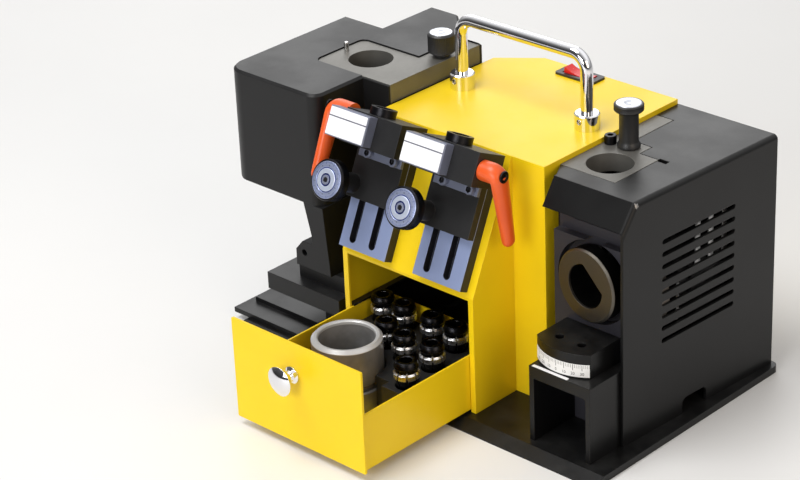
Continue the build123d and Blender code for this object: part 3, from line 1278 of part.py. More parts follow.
# Face plate in the alcove: thick below, set back to a slotted band under the visor, recessed for the swivel
TURN = radians(SWIVEL_TURN)
SWIVEL_AXIS = (SWIVEL[0] - TRUNNION_BACK * sin(TURN), SWIVEL[1] + TRUNNION_BACK * cos(TURN))
PIN_REACH = SLEEVE_WINDOW + TRUNNION_DEPTH
with BuildPart() as right_face_plate:
    with BuildSketch(facing(FACE_PLATE_Y + FACE_PLATE_T)):
        with Locations((middle(FACE_PLATE_LEFT, FACE_PLATE_RIGHT), middle(BASE_TOP, FACE_PLATE_TOP))):
            Rectangle(FACE_PLATE_RIGHT - FACE_PLATE_LEFT, FACE_PLATE_TOP - BASE_TOP)
        with Locations((SWIVEL[0], SWIVEL[2])):
            Circle(SLEEVE_WINDOW, mode=Mode.SUBTRACT)
    extrude(amount=FACE_PLATE_T)
    with BuildSketch(facing(FACE_PLATE_Y)):
        with Locations((middle(FACE_PLATE_LEFT, FACE_PLATE_RIGHT), middle(BAND_LOW, FACE_PLATE_TOP))):
            Rectangle(FACE_PLATE_RIGHT - FACE_PLATE_LEFT, FACE_PLATE_TOP - BAND_LOW)
    extrude(amount=-BAND_BACK, mode=Mode.SUBTRACT)
    with BuildSketch(facing(FACE_PLATE_Y + BAND_BACK)):
        with Locations((middle(FACE_PLATE_LEFT, FACE_PLATE_RIGHT), BAND_SLOT_Z)):
            SlotOverall(BAND_SLOT_W, BAND_SLOT_H)
    extrude(amount=-BAND_SLOT_DEPTH, mode=Mode.SUBTRACT)
    with BuildSketch(facing(FACE_PLATE_Y)):
        with Locations((SWIVEL[0], SWIVEL[2])):
            Circle(SWIVEL_RECESS_R)
    extrude(amount=-SWIVEL_RECESS, mode=Mode.SUBTRACT)
    with BuildSketch(level(SWIVEL[2])):
        with Locations(SWIVEL_AXIS):
            Circle(TRUNNION_R + PIN_FIT)
    extrude(amount=PIN_REACH + LET_IN, both=True, mode=Mode.SUBTRACT)
hand_in(right_face_plate.part, "right_face_plate")

# Swivelling front port: bevelled disc and sleeve with a D-shaped hole, on two upright pins behind the disc
swivel_plane = Plane(origin=SWIVEL, x_dir=(cos(TURN), sin(TURN), 0), z_dir=(sin(TURN), -cos(TURN), 0))
with BuildPart() as right_swivel_port:
    with BuildSketch(swivel_plane.offset(-SWIVEL_HALF_T)):
        Circle(SWIVEL_R)
    extrude(amount=2 * SWIVEL_HALF_T)
    chamfer(right_swivel_port.edges().filter_by(GeomType.CIRCLE).sort_by(Axis.Y)[0], SWIVEL_BEVEL)
    with BuildSketch(swivel_plane.offset(-SWIVEL_HALF_T)):
        Circle(SLEEVE_R)
    extrude(amount=-SLEEVE_LENGTH)
    with BuildSketch(level(SWIVEL[2])):
        with Locations(SWIVEL_AXIS):
            Circle(TRUNNION_R)
    extrude(amount=PIN_REACH, both=True)
    with BuildSketch(swivel_plane.offset(SWIVEL_HALF_T)):
        Circle(D_HOLE_R)
        with PolarLocations(D_FLAT + D_HOLE_R, 1, start_angle=D_TURN):
            Rectangle(2 * D_HOLE_R, 2 * D_HOLE_R, mode=Mode.SUBTRACT)
    extrude(amount=-2 * SWIVEL_HALF_T - SLEEVE_LENGTH, mode=Mode.SUBTRACT)
hand_in(right_swivel_port.part, "right_swivel_port")

# Arc scale: its curved front is struck from the middle of the swivelling disc
with BuildPart() as right_arc_scale:
    with BuildSketch(level(ARC_LOW)):
        with Locations(SWIVEL[:2]):
            Circle(ARC_R)
        with Locations((SWIVEL[0], middle(SWIVEL[1] - ARC_R, FACE_PLATE_Y))):
            Rectangle(2 * ARC_HALF, FACE_PLATE_Y - SWIVEL[1] + ARC_R, mode=Mode.INTERSECT)
        with Locations(SWIVEL[:2]):
            with PolarLocations(ARC_HOLE_RING, 2, start_angle=246, angular_range=48, endpoint=True):
                Circle(ARC_HOLE_R, mode=Mode.SUBTRACT)
    extrude(amount=ARC_TOP - ARC_LOW)
hand_in(right_arc_scale.part, "right_arc_scale")

with BuildPart() as right_stand:
    with BuildSketch(facing(FACE_PLATE_Y)):
        with Locations((middle(STAND_LEFT, STAND_RIGHT), middle(BASE_TOP, ARC_LOW))):
            Rectangle(STAND_RIGHT - STAND_LEFT, ARC_LOW - BASE_TOP)
        with Locations((middle(STAND_LEFT, STAND_RIGHT), middle(BASE_TOP, ARC_LOW - STAND_CEILING))):
            Rectangle(
                STAND_RIGHT - STAND_LEFT - 2 * STAND_WALL, ARC_LOW - STAND_CEILING - BASE_TOP,
                mode=Mode.SUBTRACT,
            )
    extrude(amount=FACE_PLATE_Y - STAND_FRONT)
hand_in(right_stand.part, "right_stand")
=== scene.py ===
"""Looks of a bench grinder for drills and end mills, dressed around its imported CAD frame.

Everything is in metres in the CAD frame: X to the right, Y to the back, Z up, bench at z = 0.
Sizes are written in millimetres and multiplied by MM.
"""
import json

import bmesh
import bpy
import numpy as np
from mathutils import Matrix


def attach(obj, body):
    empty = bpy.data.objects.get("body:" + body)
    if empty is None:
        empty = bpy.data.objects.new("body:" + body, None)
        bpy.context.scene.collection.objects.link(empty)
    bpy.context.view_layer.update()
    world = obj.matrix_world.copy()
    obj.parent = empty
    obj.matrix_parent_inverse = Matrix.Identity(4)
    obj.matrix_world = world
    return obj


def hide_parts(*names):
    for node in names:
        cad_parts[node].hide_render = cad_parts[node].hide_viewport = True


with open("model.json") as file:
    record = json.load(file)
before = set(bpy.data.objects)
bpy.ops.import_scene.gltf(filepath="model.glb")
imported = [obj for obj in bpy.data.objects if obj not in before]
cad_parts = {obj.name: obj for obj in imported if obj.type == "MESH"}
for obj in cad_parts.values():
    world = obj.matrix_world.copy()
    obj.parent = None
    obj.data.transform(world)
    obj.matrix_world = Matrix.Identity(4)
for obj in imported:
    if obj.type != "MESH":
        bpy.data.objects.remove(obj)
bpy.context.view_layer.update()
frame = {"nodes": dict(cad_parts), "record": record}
nodes = frame["nodes"]

MM = 0.001
TAU = 2 * np.pi

# Photograph's camera: place, three angles, lens and sensor
CAMERA_AT = np.array([1213.04, -1338.07, 1003.34]) * MM
AZIMUTH = np.radians(44.41)
ELEVATION = np.radians(26.54)
ROLL = np.radians(-2.50)
LENS = 114.27
SENSOR = 36.0

# Slanted panel that carries the gauges: its tilt, the foot of the slope and its directions
TILT = np.arctan2(47.7, 102.5)
PANEL_FOOT = np.array([0.0, -93.2, 105.3])
ACROSS = np.array([1.0, 0.0, 0.0])
UP = np.array([0.0, 0.0, 1.0])
PANEL_UP = np.array([0.0, np.sin(TILT), np.cos(TILT)])
PANEL_OUT = np.array([0.0, -np.cos(TILT), np.sin(TILT)])

# Gauges, in panel coordinates: across, up the slope, outwards
GAUGE_U = {"left": -42.8, "right": 35.8}
GAUGE_HALF = 24.5
BLOCK_OVER = 8.5
SCREW_PLACES = (-8.9, 18.1)
SCREW_V = 81.5
SCREW_OUT = 19.0
DIAL_U = -20.5
DIAL_V = 54.5
DIAL_FACE_R = 15.0
DIAL_SCREW_OUT = 47.6
DIAL_FIGURE_OUT = 47.9
DIAL_FIGURE_R = 11.2
DIAL_FIGURE_SIZE = 2.1
BRACKET_U = (-32.5, 8.0)
BRACKET_V = (88.0, 111.5)
BRACKET_FACE = 50.0
PLATE_MARGIN = 0.9
RAIL_THICK = 9.0
LEVER_V = {"left": 108.0, "right": 100.0}
LEVER_OUT = 31.0
LEVER_REACH = {"left": 53.0, "right": 57.0}
LEVER_LEAN = np.radians(9.0)
LEVER_GAP = 0.3
LEVER_LIP = 6.8
LEVER_HUB = 8.0
LEVER_BEND = 5.5
LEVER_TIP = 5.6
LEVER_THICK = (5.6, 4.8)
LEVER_BUTTON = 4.6

# Knobs on the port plates, and the screw of the right plate
LEFT_KNOB = np.array([-81.0, 40.0, 223.4])
RIGHT_KNOB = np.array([120.0, 28.5, 204.0])
PLATE_SCREW = (105.0, 25.0, 204.0)

# Rear cover: its face and the places of its screws
COVER_FACE = 117.2
COVER_SCREW_X = (-17.0, 81.0)
COVER_SCREW_Z = (36.0, 104.0, 172.0)

# Collets in the drawer: places, seat height, length, band of painted highlight and slots
COLLETS = np.array([
    (-51.05, -70.0), (-28.05, -70.0), (2.65, -70.0), (27.05, -70.0),
    (-19.55, -99.2), (5.95, -106.2), (33.35, -104.1), (36.55, -136.3),
])
COLLET_SEAT = 26.0
COLLET_TOP = 36.0
COLLET_HIGHLIGHT = (21.8, 27.0)
COLLET_SLOTS = 8
SLOT_REACH = (6.0, 28.0)
SLOT_FROM_R = 6.0
SLOT_HALF = 0.06
SLOT_DEPTH = 0.30

# Chuck in the drawer: heights of the painted highlight on its rim, in metres
CHUCK_HIGHLIGHT = (0.0625, 0.0700)

# Cap screw heads: share of their rows, and so of their UV, that lies outside the socket
SOCKET_SHARE = 4 / 6

# White plates: share by which their upper edge is drawn in
TILE_LIP = 0.004

# Swivelling disc: middle, way that its face looks and half its thickness
SWIVEL = np.array([147.0, -50.0])
DISC_TURN = np.radians(-6.0)
DISC_OUT = np.array([np.sin(DISC_TURN), -np.cos(DISC_TURN), 0.0])
DISC_HALF = 6.0

# Arc scale, struck from the middle of the disc: radius, heights, degrees, strip and figures
ARC_R = 41.0
ARC_Z = (71.2, 81.8)
ARC_SPAN = 76.0
ARC_MIDDLE = 270.0
STRIP_THICK = 0.25
STRIP_EDGE = 0.1
ARC_FIGURE_OUT = 0.3
ARC_FIGURE_RISE = 2.7
ARC_FIGURE_SIZE = 3.4

# Stand under the arc block: its top and two corners of the white strip on it
STAND_TOP = 70.0
STAND_STRIP = ((126.0, -94.2), (160.0, -91.3))

# Right casing: front upper corner, rubbed bare
CASE_CORNER = np.array([186.0, -44.6, 202.0])

# Motor in the right head, whose fins show through the vents: middle, the fins' ends across, the ends painted
# bright as the light seen through the vents, and each fin's place in y, width, low end and high end
MOTOR_X = 147.0
FIN_REACH = (8.0, 35.6)
FIN_PAINTED_LIGHT = (34.6, 40.0)
FIN_LIP = 0.4
FINS = (
    (33.3, 6.0, 115.0, 165.0), (49.5, 6.0, 115.0, 165.0), (66.5, 6.0, 115.0, 165.0), (9.2, 2.5, 84.0, 123.0),
)


def panel(u, v, w):
    """Point at panel coordinates: across, up the slope and outwards from its foot."""
    return PANEL_FOOT + u * ACROSS + v * PANEL_UP + w * PANEL_OUT


def placed(local, origin, x_way, axis):
    """Local points put into the frame: x along x_way, y along axis x x_way, z along axis."""
    y_way = np.cross(axis, x_way)
    return origin + local[..., :1] * x_way + local[..., 1:2] * y_way + local[..., 2:] * axis


def turned(profile, count, ripple=None):
    """Surface of revolution: each profile row (radius, height) goes once round the local z axis.

    ripple, if given, is a share (rows, angles) by which the radius shrinks.
    """
    profile = np.asarray(profile, float)
    angle = np.linspace(0, TAU, count + 1)
    radius = profile[:, :1] * np.ones_like(angle)
    if ripple is not None:
        radius = radius * (1 - ripple)
    height = profile[:, 1:2] * np.ones_like(angle)
    return np.stack([radius * np.cos(angle), radius * np.sin(angle), height], -1)


def knurled(profile, ribbed, number, depth):
    """Surface of revolution with a straight knurl: the ribbed rows shrink by a cosine of so many ribs."""
    angle = np.linspace(0, TAU, 2 * number + 1)
    wave = 0.5 - 0.5 * np.cos(number * angle)
    mask = np.isin(np.arange(len(profile)), ribbed).astype(float)
    return turned(profile, 2 * number, depth * mask[:, None] * wave)


def hexagon(angle, inner):
    """Radius of a hexagon at an angle: its inner radius over the cosine of the angle from a flat's middle."""
    return inner / np.cos((angle + TAU / 12) % (TAU / 6) - TAU / 12)


def outline_rows(outline, levels):
    """Closed slab: a plane outline (points, 2) at each level (inset, height), with a pole at both ends.

    An inset moves each point towards the outline's centre by that share.
    """
    centre = outline[:-1].mean(0)
    rows = []
    for inset, height in levels:
        ring = centre + (outline - centre) * (1 - inset)
        rows.append(np.column_stack([ring, np.full(len(ring), height)]))
    return np.array(rows)


def rounded_rectangle(low, high, radius):
    """Closed outline of a rectangle from low to high whose corners are quarter circles of that radius."""
    low, high = np.asarray(low, float), np.asarray(high, float)
    quarter = np.linspace(0, TAU / 4, 6)
    corners = [(high[0], high[1], 0), (low[0], high[1], 1), (low[0], low[1], 2), (high[0], low[1], 3)]
    runs = []
    for x, y, turn in corners:
        angle = quarter + turn * TAU / 4
        centre = np.array([x, y]) - radius * np.sign([x - low[0] or -1, y - low[1] or -1])
        runs.append(centre + radius * np.column_stack([np.cos(angle), np.sin(angle)]))
    outline = np.concatenate(runs)
    return np.vstack([outline, outline[:1]])


def piece(name, body, material, grids, uvs=None, sharp=40):
    """Mesh piece from point grids (rows, columns, 3) in millimetres: a quad for each cell, doubles merged."""
    points, quads, loops_uv, start = [], [], [], 0
    for index, grid in enumerate(grids):
        rows, cols = grid.shape[:2]
        r, c = np.meshgrid(np.arange(rows - 1), np.arange(cols - 1), indexing="ij")
        first = r * cols + c
        cells = np.stack([first, first + 1, first + cols + 1, first + cols], -1).reshape(-1, 4)
        quads.append(cells + start)
        points.append(grid.reshape(-1, 3) * MM)
        if uvs is None:
            u, v = np.meshgrid(np.linspace(0, 1, rows), np.linspace(0, 1, cols), indexing="ij")
            flat = np.stack([v, u], -1).reshape(-1, 2)
        else:
            flat = uvs[index].reshape(-1, 2)
        loops_uv.append(flat[cells.ravel()])
        start += rows * cols
    points, quads = np.concatenate(points), np.concatenate(quads)
    mesh = bpy.data.meshes.new(name)
    mesh.from_pydata(points, [], quads)
    layer = mesh.uv_layers.new(name="UVMap")
    layer.data.foreach_set("uv", np.concatenate(loops_uv).astype(np.float32).ravel())
    work = bmesh.new()
    work.from_mesh(mesh)
    bmesh.ops.remove_doubles(work, verts=work.verts, dist=1e-7)
    bmesh.ops.dissolve_degenerate(work, edges=work.edges, dist=1e-8)
    bmesh.ops.recalc_face_normals(work, faces=work.faces)
    work.to_mesh(mesh)
    work.free()
    mesh.shade_smooth()
    mesh.set_sharp_from_angle(angle=np.radians(sharp))
    mesh.materials.append(material)
    made = bpy.data.objects.new(name, mesh)
    bpy.context.scene.collection.objects.link(made)
    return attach(made, body)


class Tree:
    """Short calls for one shader tree: add a node, with inputs set or linked."""

    def __init__(self, tree):
        self.tree = tree

    def add(self, kind, inputs=None, **settings):
        node = self.tree.nodes.new("ShaderNode" + kind)
        for key, value in settings.items():
            setattr(node, key, value)
        for key, value in (inputs or {}).items():
            self.feed(node.inputs[key], value)
        return node

    def feed(self, socket, value):
        if isinstance(value, bpy.types.NodeSocket):
            self.tree.links.new(value, socket)
        else:
            socket.default_value = value

    def math(self, operation, a, b=0.0, clamp=False):
        node = self.add("Math", {0: a, 1: b}, operation=operation, use_clamp=clamp)
        return node.outputs[0]

    def ramp(self, value, low, high, start=0.0, end=1.0):
        names = {"Value": value, "From Min": low, "From Max": high, "To Min": start, "To Max": end}
        return self.add("MapRange", names, interpolation_type="SMOOTHSTEP").outputs[0]

    def noise(self, place, scale, detail, roughness=0.5):
        inputs = {"Vector": place, "Scale": scale, "Detail": detail, "Roughness": roughness}
        return self.add("TexNoise", inputs).outputs[0]

    def mix(self, share, a, b):
        node = self.add("Mix", {"Factor": share}, data_type="RGBA")
        self.feed(node.inputs[6], a)
        self.feed(node.inputs[7], b)
        return node.outputs[2]


def effect(name, takes, gives):
    """Empty shader group with named inputs (kind, default) and outputs (kind), its tree and both its ends."""
    group = bpy.data.node_groups.new(name, "ShaderNodeTree")
    for label, (kind, value) in takes.items():
        socket = group.interface.new_socket(label, in_out="INPUT", socket_type="NodeSocket" + kind)
        socket.default_value = value
    for label, kind in gives.items():
        group.interface.new_socket(label, in_out="OUTPUT", socket_type="NodeSocket" + kind)
    tree = Tree(group)
    return group, tree, group.nodes.new("NodeGroupInput").outputs, group.nodes.new("NodeGroupOutput").inputs


def soft_edges():
    """Rounded normals near edges, and a mask that grows where they leave the true normal."""
    takes = {"Radius": ("Float", 0.0006)}
    group, t, takes, gives = effect("soft_edges", takes, {"Normal": "Vector", "Edge": "Float"})
    bevel = t.add("Bevel", {"Radius": takes["Radius"]}, samples=6)
    true = t.add("NewGeometry").outputs["Normal"]
    dot = t.add("VectorMath", {0: bevel.outputs["Normal"], 1: true}, operation="DOT_PRODUCT")
    t.feed(gives["Normal"], bevel.outputs["Normal"])
    t.feed(gives["Edge"], t.ramp(dot.outputs["Value"], 0.995, 0.80))
    return group


def grain():
    """Noise on stretched object coordinates: a height for bump and a slow tone from 0 to 1."""
    takes = {"Scale": ("Float", 900.0), "Stretch": ("Vector", (1, 1, 1)), "Tone Scale": ("Float", 18.0)}
    group, t, takes, gives = effect("grain", takes, {"Height": "Float", "Tone": "Float"})
    place = t.add("TexCoord").outputs["Object"]
    pulled = t.add("VectorMath", {0: place, 1: takes["Stretch"]}, operation="MULTIPLY").outputs[0]
    t.feed(gives["Height"], t.noise(pulled, takes["Scale"], 3.0, 0.6))
    t.feed(gives["Tone"], t.ramp(t.noise(place, takes["Tone Scale"], 4.0, 0.55), 0.3, 0.7))
    return group


def worn():
    """Edge mask broken up by noise, so that paint is lost in short runs along an edge."""
    takes = {"Edge": ("Float", 0.0), "Amount": ("Float", 0.5), "Scale": ("Float", 140.0)}
    group, t, takes, gives = effect("worn", takes, {"Mask": "Float"})
    place = t.add("TexCoord").outputs["Object"]
    chips = t.noise(place, takes["Scale"], 5.0, 0.65)
    need = t.math("SUBTRACT", 1.0, takes["Amount"])
    gate = t.ramp(chips, need, t.math("ADD", need, 0.08))
    t.feed(gives["Mask"], t.math("MULTIPLY", gate, takes["Edge"]))
    return group


def dust():
    """Pale dust on faces that look up, thicker in patches, which also paints the lighter sheen of the tops.
    """
    group, t, takes, gives = effect("dust", {"Amount": ("Float", 0.3)}, {"Mask": "Float"})
    up = t.add("SeparateXYZ", {0: t.add("NewGeometry").outputs["Normal"]}).outputs["Z"]
    place = t.add("TexCoord").outputs["Object"]
    patch = t.noise(place, 45.0, 6.0, 0.7)
    lying = t.math("MULTIPLY", t.ramp(up, 0.55, 1.0), t.ramp(patch, 0.35, 0.75))
    t.feed(gives["Mask"], t.math("MULTIPLY", lying, takes["Amount"]))
    return group


def graduation():
    """Even marks along a position: one where the position times the count is near a whole number."""
    takes = {"Position": ("Float", 0.0), "Count": ("Float", 50.0), "Width": ("Float", 0.1)}
    group, t, takes, gives = effect("graduation", takes, {"Mask": "Float"})
    spot = t.math("MULTIPLY", takes["Position"], takes["Count"])
    away = t.math("ABSOLUTE", t.math("SUBTRACT", t.math("FRACT", t.math("ADD", spot, 0.5)), 0.5))
    t.feed(gives["Mask"], t.math("LESS_THAN", away, takes["Width"]))
    return group


SOFT_EDGES, GRAIN, WORN, DUST_AND_SHEEN, GRADUATION = soft_edges(), grain(), worn(), dust(), graduation()


def begin(name):
    """New material with its tree helper and its Principled shader."""
    material = bpy.data.materials.new(name)
    material.use_nodes = True
    tree = Tree(material.node_tree)
    return material, tree, material.node_tree.nodes["Principled BSDF"].inputs


def use(tree, group, **inputs):
    """Place a shared effect in a material with its own values."""
    node = tree.add("Group", node_tree=group)
    for key, value in inputs.items():
        tree.feed(node.inputs[key.replace("_", " ")], value)
    return node.outputs


def bumped(tree, skin, height, normal, distance, strength=1.0):
    """Raise a height by that distance on top of the softened normal."""
    inputs = {"Height": height, "Normal": normal, "Strength": strength, "Distance": distance}
    tree.feed(skin["Normal"], tree.add("Bump", inputs).outputs[0])


def enamel(name, colour, shade, rough, grain_scale, grain_height, wear, bare, dust_and_sheen_amount, gloss, brightened=None):
    """Sprayed enamel over metal: slow tone, orange-peel bump, soft edges, chips to bare metal, dust with
    painted sheen.

    The last argument, if given, is a place where the paint is worn away in a small ragged spot.
    """
    material, t, skin = begin(name)
    edges = use(t, SOFT_EDGES, Radius=0.0006)
    peel = use(t, GRAIN, Scale=grain_scale)
    chips = use(t, WORN, Edge=edges["Edge"], Amount=wear)["Mask"]
    if brightened is not None:
        place = t.add("TexCoord").outputs["Object"]
        away = t.add("VectorMath", {0: place, 1: brightened}, operation="DISTANCE").outputs["Value"]
        ragged = t.math("ADD", away, t.math("MULTIPLY", t.noise(place, 700.0, 3.0), 0.006))
        chips = t.math("MAXIMUM", chips, t.ramp(ragged, 0.0054, 0.0046))
    # Paler on faces that look up: dust, and a painted sheen on the tops
    dust_and_sheen_mask = use(t, DUST_AND_SHEEN, Amount=dust_and_sheen_amount)["Mask"]
    paint = t.mix(peel["Tone"], (*colour, 1), (*shade, 1))
    with_dust_and_sheen = t.mix(dust_and_sheen_mask, paint, (*DUST_AND_SHEEN_TINT, 1))
    t.feed(skin["Base Color"], t.mix(chips, with_dust_and_sheen, (*bare, 1)))
    slick = t.ramp(peel["Tone"], 0.0, 1.0, rough - 0.04, rough + 0.05)
    t.feed(skin["Roughness"], t.math("ADD", slick, t.math("MULTIPLY", dust_and_sheen_mask, 0.5), clamp=True))
    t.feed(skin["Metallic"], t.math("MULTIPLY", chips, 0.8))
    bumped(t, skin, peel["Height"], edges["Normal"], grain_height)
    skin["Specular IOR Level"].default_value = gloss
    return material


def bare_metal(name, colour, shade, rough, stretch, scale, height, spread=0.06, metal=1.0):
    """Machined metal: fine marks pulled out along the cut, slow tone, softened edges with a painted
    highlight.
    """
    material, t, skin = begin(name)
    edges = use(t, SOFT_EDGES, Radius=0.0004)
    marks = use(t, GRAIN, Scale=scale, Stretch=stretch, Tone_Scale=30.0)
    tone = t.mix(marks["Tone"], (*colour, 1), (*shade, 1))
    # Paler colour along the edges is a painted highlight
    brightened = tuple(min(1.0, c * 1.5 + 0.06) for c in colour)
    t.feed(skin["Base Color"], t.mix(t.math("MULTIPLY", edges["Edge"], 0.6), tone, (*brightened, 1)))
    t.feed(skin["Roughness"], t.ramp(marks["Height"], 0.2, 0.8, rough - spread, rough + spread))
    bumped(t, skin, marks["Height"], edges["Normal"], height)
    skin["Metallic"].default_value = metal
    return material


def moulded(name, colour, shade, rough, scale, height):
    """Moulded plastic: even colour with a slow tone, fine pebble bump and softened edges that catch light."""
    material, t, skin = begin(name)
    edges = use(t, SOFT_EDGES, Radius=0.0005)
    pebble = use(t, GRAIN, Scale=scale, Tone_Scale=40.0)
    tone = t.mix(pebble["Tone"], (*colour, 1), (*shade, 1))
    # Paler colour along the edges is a painted highlight
    pale = tuple(min(1.0, c * 1.25 + 0.03) for c in colour)
    t.feed(skin["Base Color"], t.mix(t.math("MULTIPLY", edges["Edge"], 0.5), tone, (*pale, 1)))
    t.feed(skin["Roughness"], t.ramp(pebble["Height"], 0.2, 0.8, rough - 0.05, rough + 0.05))
    bumped(t, skin, pebble["Height"], edges["Normal"], height)
    return material


def band(t, value, low, high):
    """One where a value lies between two limits, else nought."""
    return t.math("MULTIPLY", t.math("GREATER_THAN", value, low), t.math("LESS_THAN", value, high))


def printed(name, colour, ink, rough, metal, marks):
    """Plate with printed or cut marks: marks(tree, u, v) gives their mask from the UV, ink fills it."""
    material, t, skin = begin(name)
    edges = use(t, SOFT_EDGES, Radius=0.0003)
    fine = use(t, GRAIN, Scale=1800.0, Tone_Scale=60.0)
    place = t.add("SeparateXYZ", {0: t.add("TexCoord").outputs["UV"]}).outputs
    mask = marks(t, place["X"], place["Y"])
    dulled = tuple(0.92 * c for c in colour)
    ground = t.mix(fine["Tone"], (*colour, 1), (*dulled, 1))
    t.feed(skin["Base Color"], t.mix(mask, ground, (*ink, 1)))
    t.feed(skin["Roughness"], t.ramp(fine["Height"], 0.2, 0.8, rough - 0.05, rough + 0.05))
    cut = t.math("SUBTRACT", t.math("MULTIPLY", fine["Height"], 0.1), mask)
    bumped(t, skin, cut, edges["Normal"], 0.00005, 0.4)
    skin["Metallic"].default_value = metal
    return material


def even_marks(t, position, count, width, height, low, high):
    """Even marks along a position, kept to a band of heights."""
    marks = use(t, GRADUATION, Position=position, Count=count, Width=width)["Mask"]
    return t.math("MULTIPLY", marks, band(t, height, low, high))


def dial_marks(t, turn, spread):
    """A hundred short marks round the rim, ten longer ones, half tone under them, painted shade in groove and
    middle.
    """
    short = even_marks(t, turn, 100.0, 0.14, spread, 0.86, 0.95)
    tall = even_marks(t, turn, 10.0, 0.02, spread, 0.82, 0.95)
    # Dark ring in the groove and dark middle round the screw: painted shade
    painted_shade_rings = t.math("MAXIMUM", band(t, spread, 0.61, 0.66), band(t, spread, 0.0, 0.34))
    toned = t.math("MAXIMUM", painted_shade_rings, t.math("MULTIPLY", t.math("GREATER_THAN", spread, 0.66), 0.55))
    return t.math("MAXIMUM", toned, t.math("MAXIMUM", short, tall))


def line_mark(t, across, height):
    """One thin line right across, a third of the way down."""
    return band(t, height, 0.658, 0.703)


def degree_marks(t, across, height):
    """Marks from the upper edge, counted from the middle: short ones for two degrees, longer ones for ten."""
    middle = t.math("SUBTRACT", across, 0.5)
    short = even_marks(t, middle, ARC_SPAN / 2, 0.10, height, 0.70, 0.97)
    tall = even_marks(t, middle, ARC_SPAN / 10, 0.03, height, 0.52, 0.97)
    return t.math("MAXIMUM", short, tall)


def banded_steel(name, dark, bright, rough, coords, way, low, high, metal=1.0):
    """Blackened metal with one bright band between two places along a direction of its coordinates."""
    material, t, skin = begin(name)
    edges = use(t, SOFT_EDGES, Radius=0.0004)
    fine = use(t, GRAIN, Scale=1600.0, Stretch=(0.25, 0.25, 1.0), Tone_Scale=70.0)
    spot = t.add("TexCoord").outputs[coords]
    place = t.add("VectorMath", {0: spot, 1: way}, operation="DOT_PRODUCT").outputs["Value"]
    soft = 0.02 * (high - low)
    above, below = t.ramp(place, low - soft, low + soft), t.ramp(place, high + soft, high - soft)
    inside = t.math("MULTIPLY", above, below)
    # Lighter along the edges as well: a painted highlight
    brightened = t.math("MAXIMUM", inside, t.math("MULTIPLY", edges["Edge"], 0.35))
    worn_dark = tuple(1.4 * c for c in dark)
    ground = t.mix(fine["Tone"], (*dark, 1), (*worn_dark, 1))
    t.feed(skin["Base Color"], t.mix(brightened, ground, (*bright, 1)))
    t.feed(skin["Roughness"], t.ramp(fine["Height"], 0.2, 0.8, rough - 0.07, rough + 0.07))
    bumped(t, skin, fine["Height"], edges["Normal"], 0.000005)
    skin["Metallic"].default_value = metal
    return material


# Finishes: paint over metal, bare metal, metal with one bright band, plastic, and marked plates
STEEL_UNDER = (0.30, 0.29, 0.28)
PRIMER_UNDER = (0.60, 0.40, 0.12)
# Pale grey of the upward faces: dust, and a painted sheen on the tops
DUST_AND_SHEEN_TINT = (0.55, 0.54, 0.51)
GLOSS_BLACK = {
    "colour": (0.0040, 0.0040, 0.0042), "shade": (0.0055, 0.0055, 0.0057), "rough": 0.32, "grain_scale": 1500,
    "grain_height": 0.000008, "wear": 0.34, "bare": STEEL_UNDER, "dust_and_sheen_amount": 0.02, "gloss": 0.27,
}
YELLOW = enamel("yellow_enamel", (0.89, 0.625, 0.008), (0.87, 0.60, 0.008), 0.36, 420, 0.00002, 0.30,
                PRIMER_UNDER, 0.03, 0.3)
BLACK = enamel("black_enamel", **GLOSS_BLACK)
CASE = enamel("case_enamel", **GLOSS_BLACK, brightened=CASE_CORNER * MM)
FACE_PLATE = enamel("plate_enamel", (0.026, 0.025, 0.032), (0.032, 0.031, 0.038), 0.44, 1500, 0.00003, 0.34,
                    STEEL_UNDER, 0.03, 0.3)
CASTING = enamel("black_casting", (0.006, 0.006, 0.0065), (0.009, 0.009, 0.0095), 0.40, 1100, 0.00003, 0.34,
                 STEEL_UNDER, 0.02, 0.27)

CHROME = bare_metal("chrome_plate", (0.86, 0.86, 0.88), (0.80, 0.80, 0.83), 0.08, (1, 1, 1), 300, 0.000002,
                    spread=0.03)
GROUND = bare_metal("ground_steel", (0.165, 0.16, 0.145), (0.135, 0.13, 0.118), 0.46, (1, 0.06, 1), 2600,
                    0.000006, metal=0.5)
SPINDLE = bare_metal("bright_steel", (0.62, 0.61, 0.60), (0.52, 0.51, 0.50), 0.25, (1, 0.1, 1), 2400,
                     0.000004)
KNOB_TOP = bare_metal("faced_alloy", (0.66, 0.68, 0.74), (0.58, 0.60, 0.66), 0.30, (1, 0.2, 1), 2400,
                      0.000004)
OXIDE = bare_metal("black_oxide", (0.030, 0.030, 0.033), (0.02, 0.02, 0.023), 0.36, (1, 1, 1), 1400, 0.000006)
ANODISED = bare_metal("anodised_black", (0.014, 0.014, 0.015), (0.019, 0.019, 0.020), 0.42, (0.15, 1, 1),
                      2200, 0.00001, metal=0.2)
GUNMETAL = bare_metal("anodised_dark_grey", (0.19, 0.21, 0.29), (0.15, 0.165, 0.225), 0.40, (1, 0.15, 0.15),
                      2200, 0.000006, metal=0.3)
ALLOY = bare_metal("cast_alloy", (0.72, 0.72, 0.72), (0.60, 0.60, 0.60), 0.38, (1, 1, 1), 900, 0.00002)

DISC_FACE = (np.dot(SWIVEL, DISC_OUT[:2]) + DISC_HALF) * MM
RAIL_FACE = np.dot(PANEL_FOOT + RAIL_THICK * PANEL_OUT, PANEL_OUT) * MM
DISC = banded_steel("dark_turned_steel", (0.012, 0.011, 0.010), (0.13, 0.118, 0.10), 0.42, "Object", DISC_OUT,
                    DISC_FACE - 0.002, DISC_FACE + 0.001)
# Chuck: dull grey, with a painted highlight round its rim
CHUCK = banded_steel("chuck_steel", (0.19, 0.187, 0.185), (0.60, 0.60, 0.60), 0.34, "Object", UP, *CHUCK_HIGHLIGHT,
                     metal=0.3)
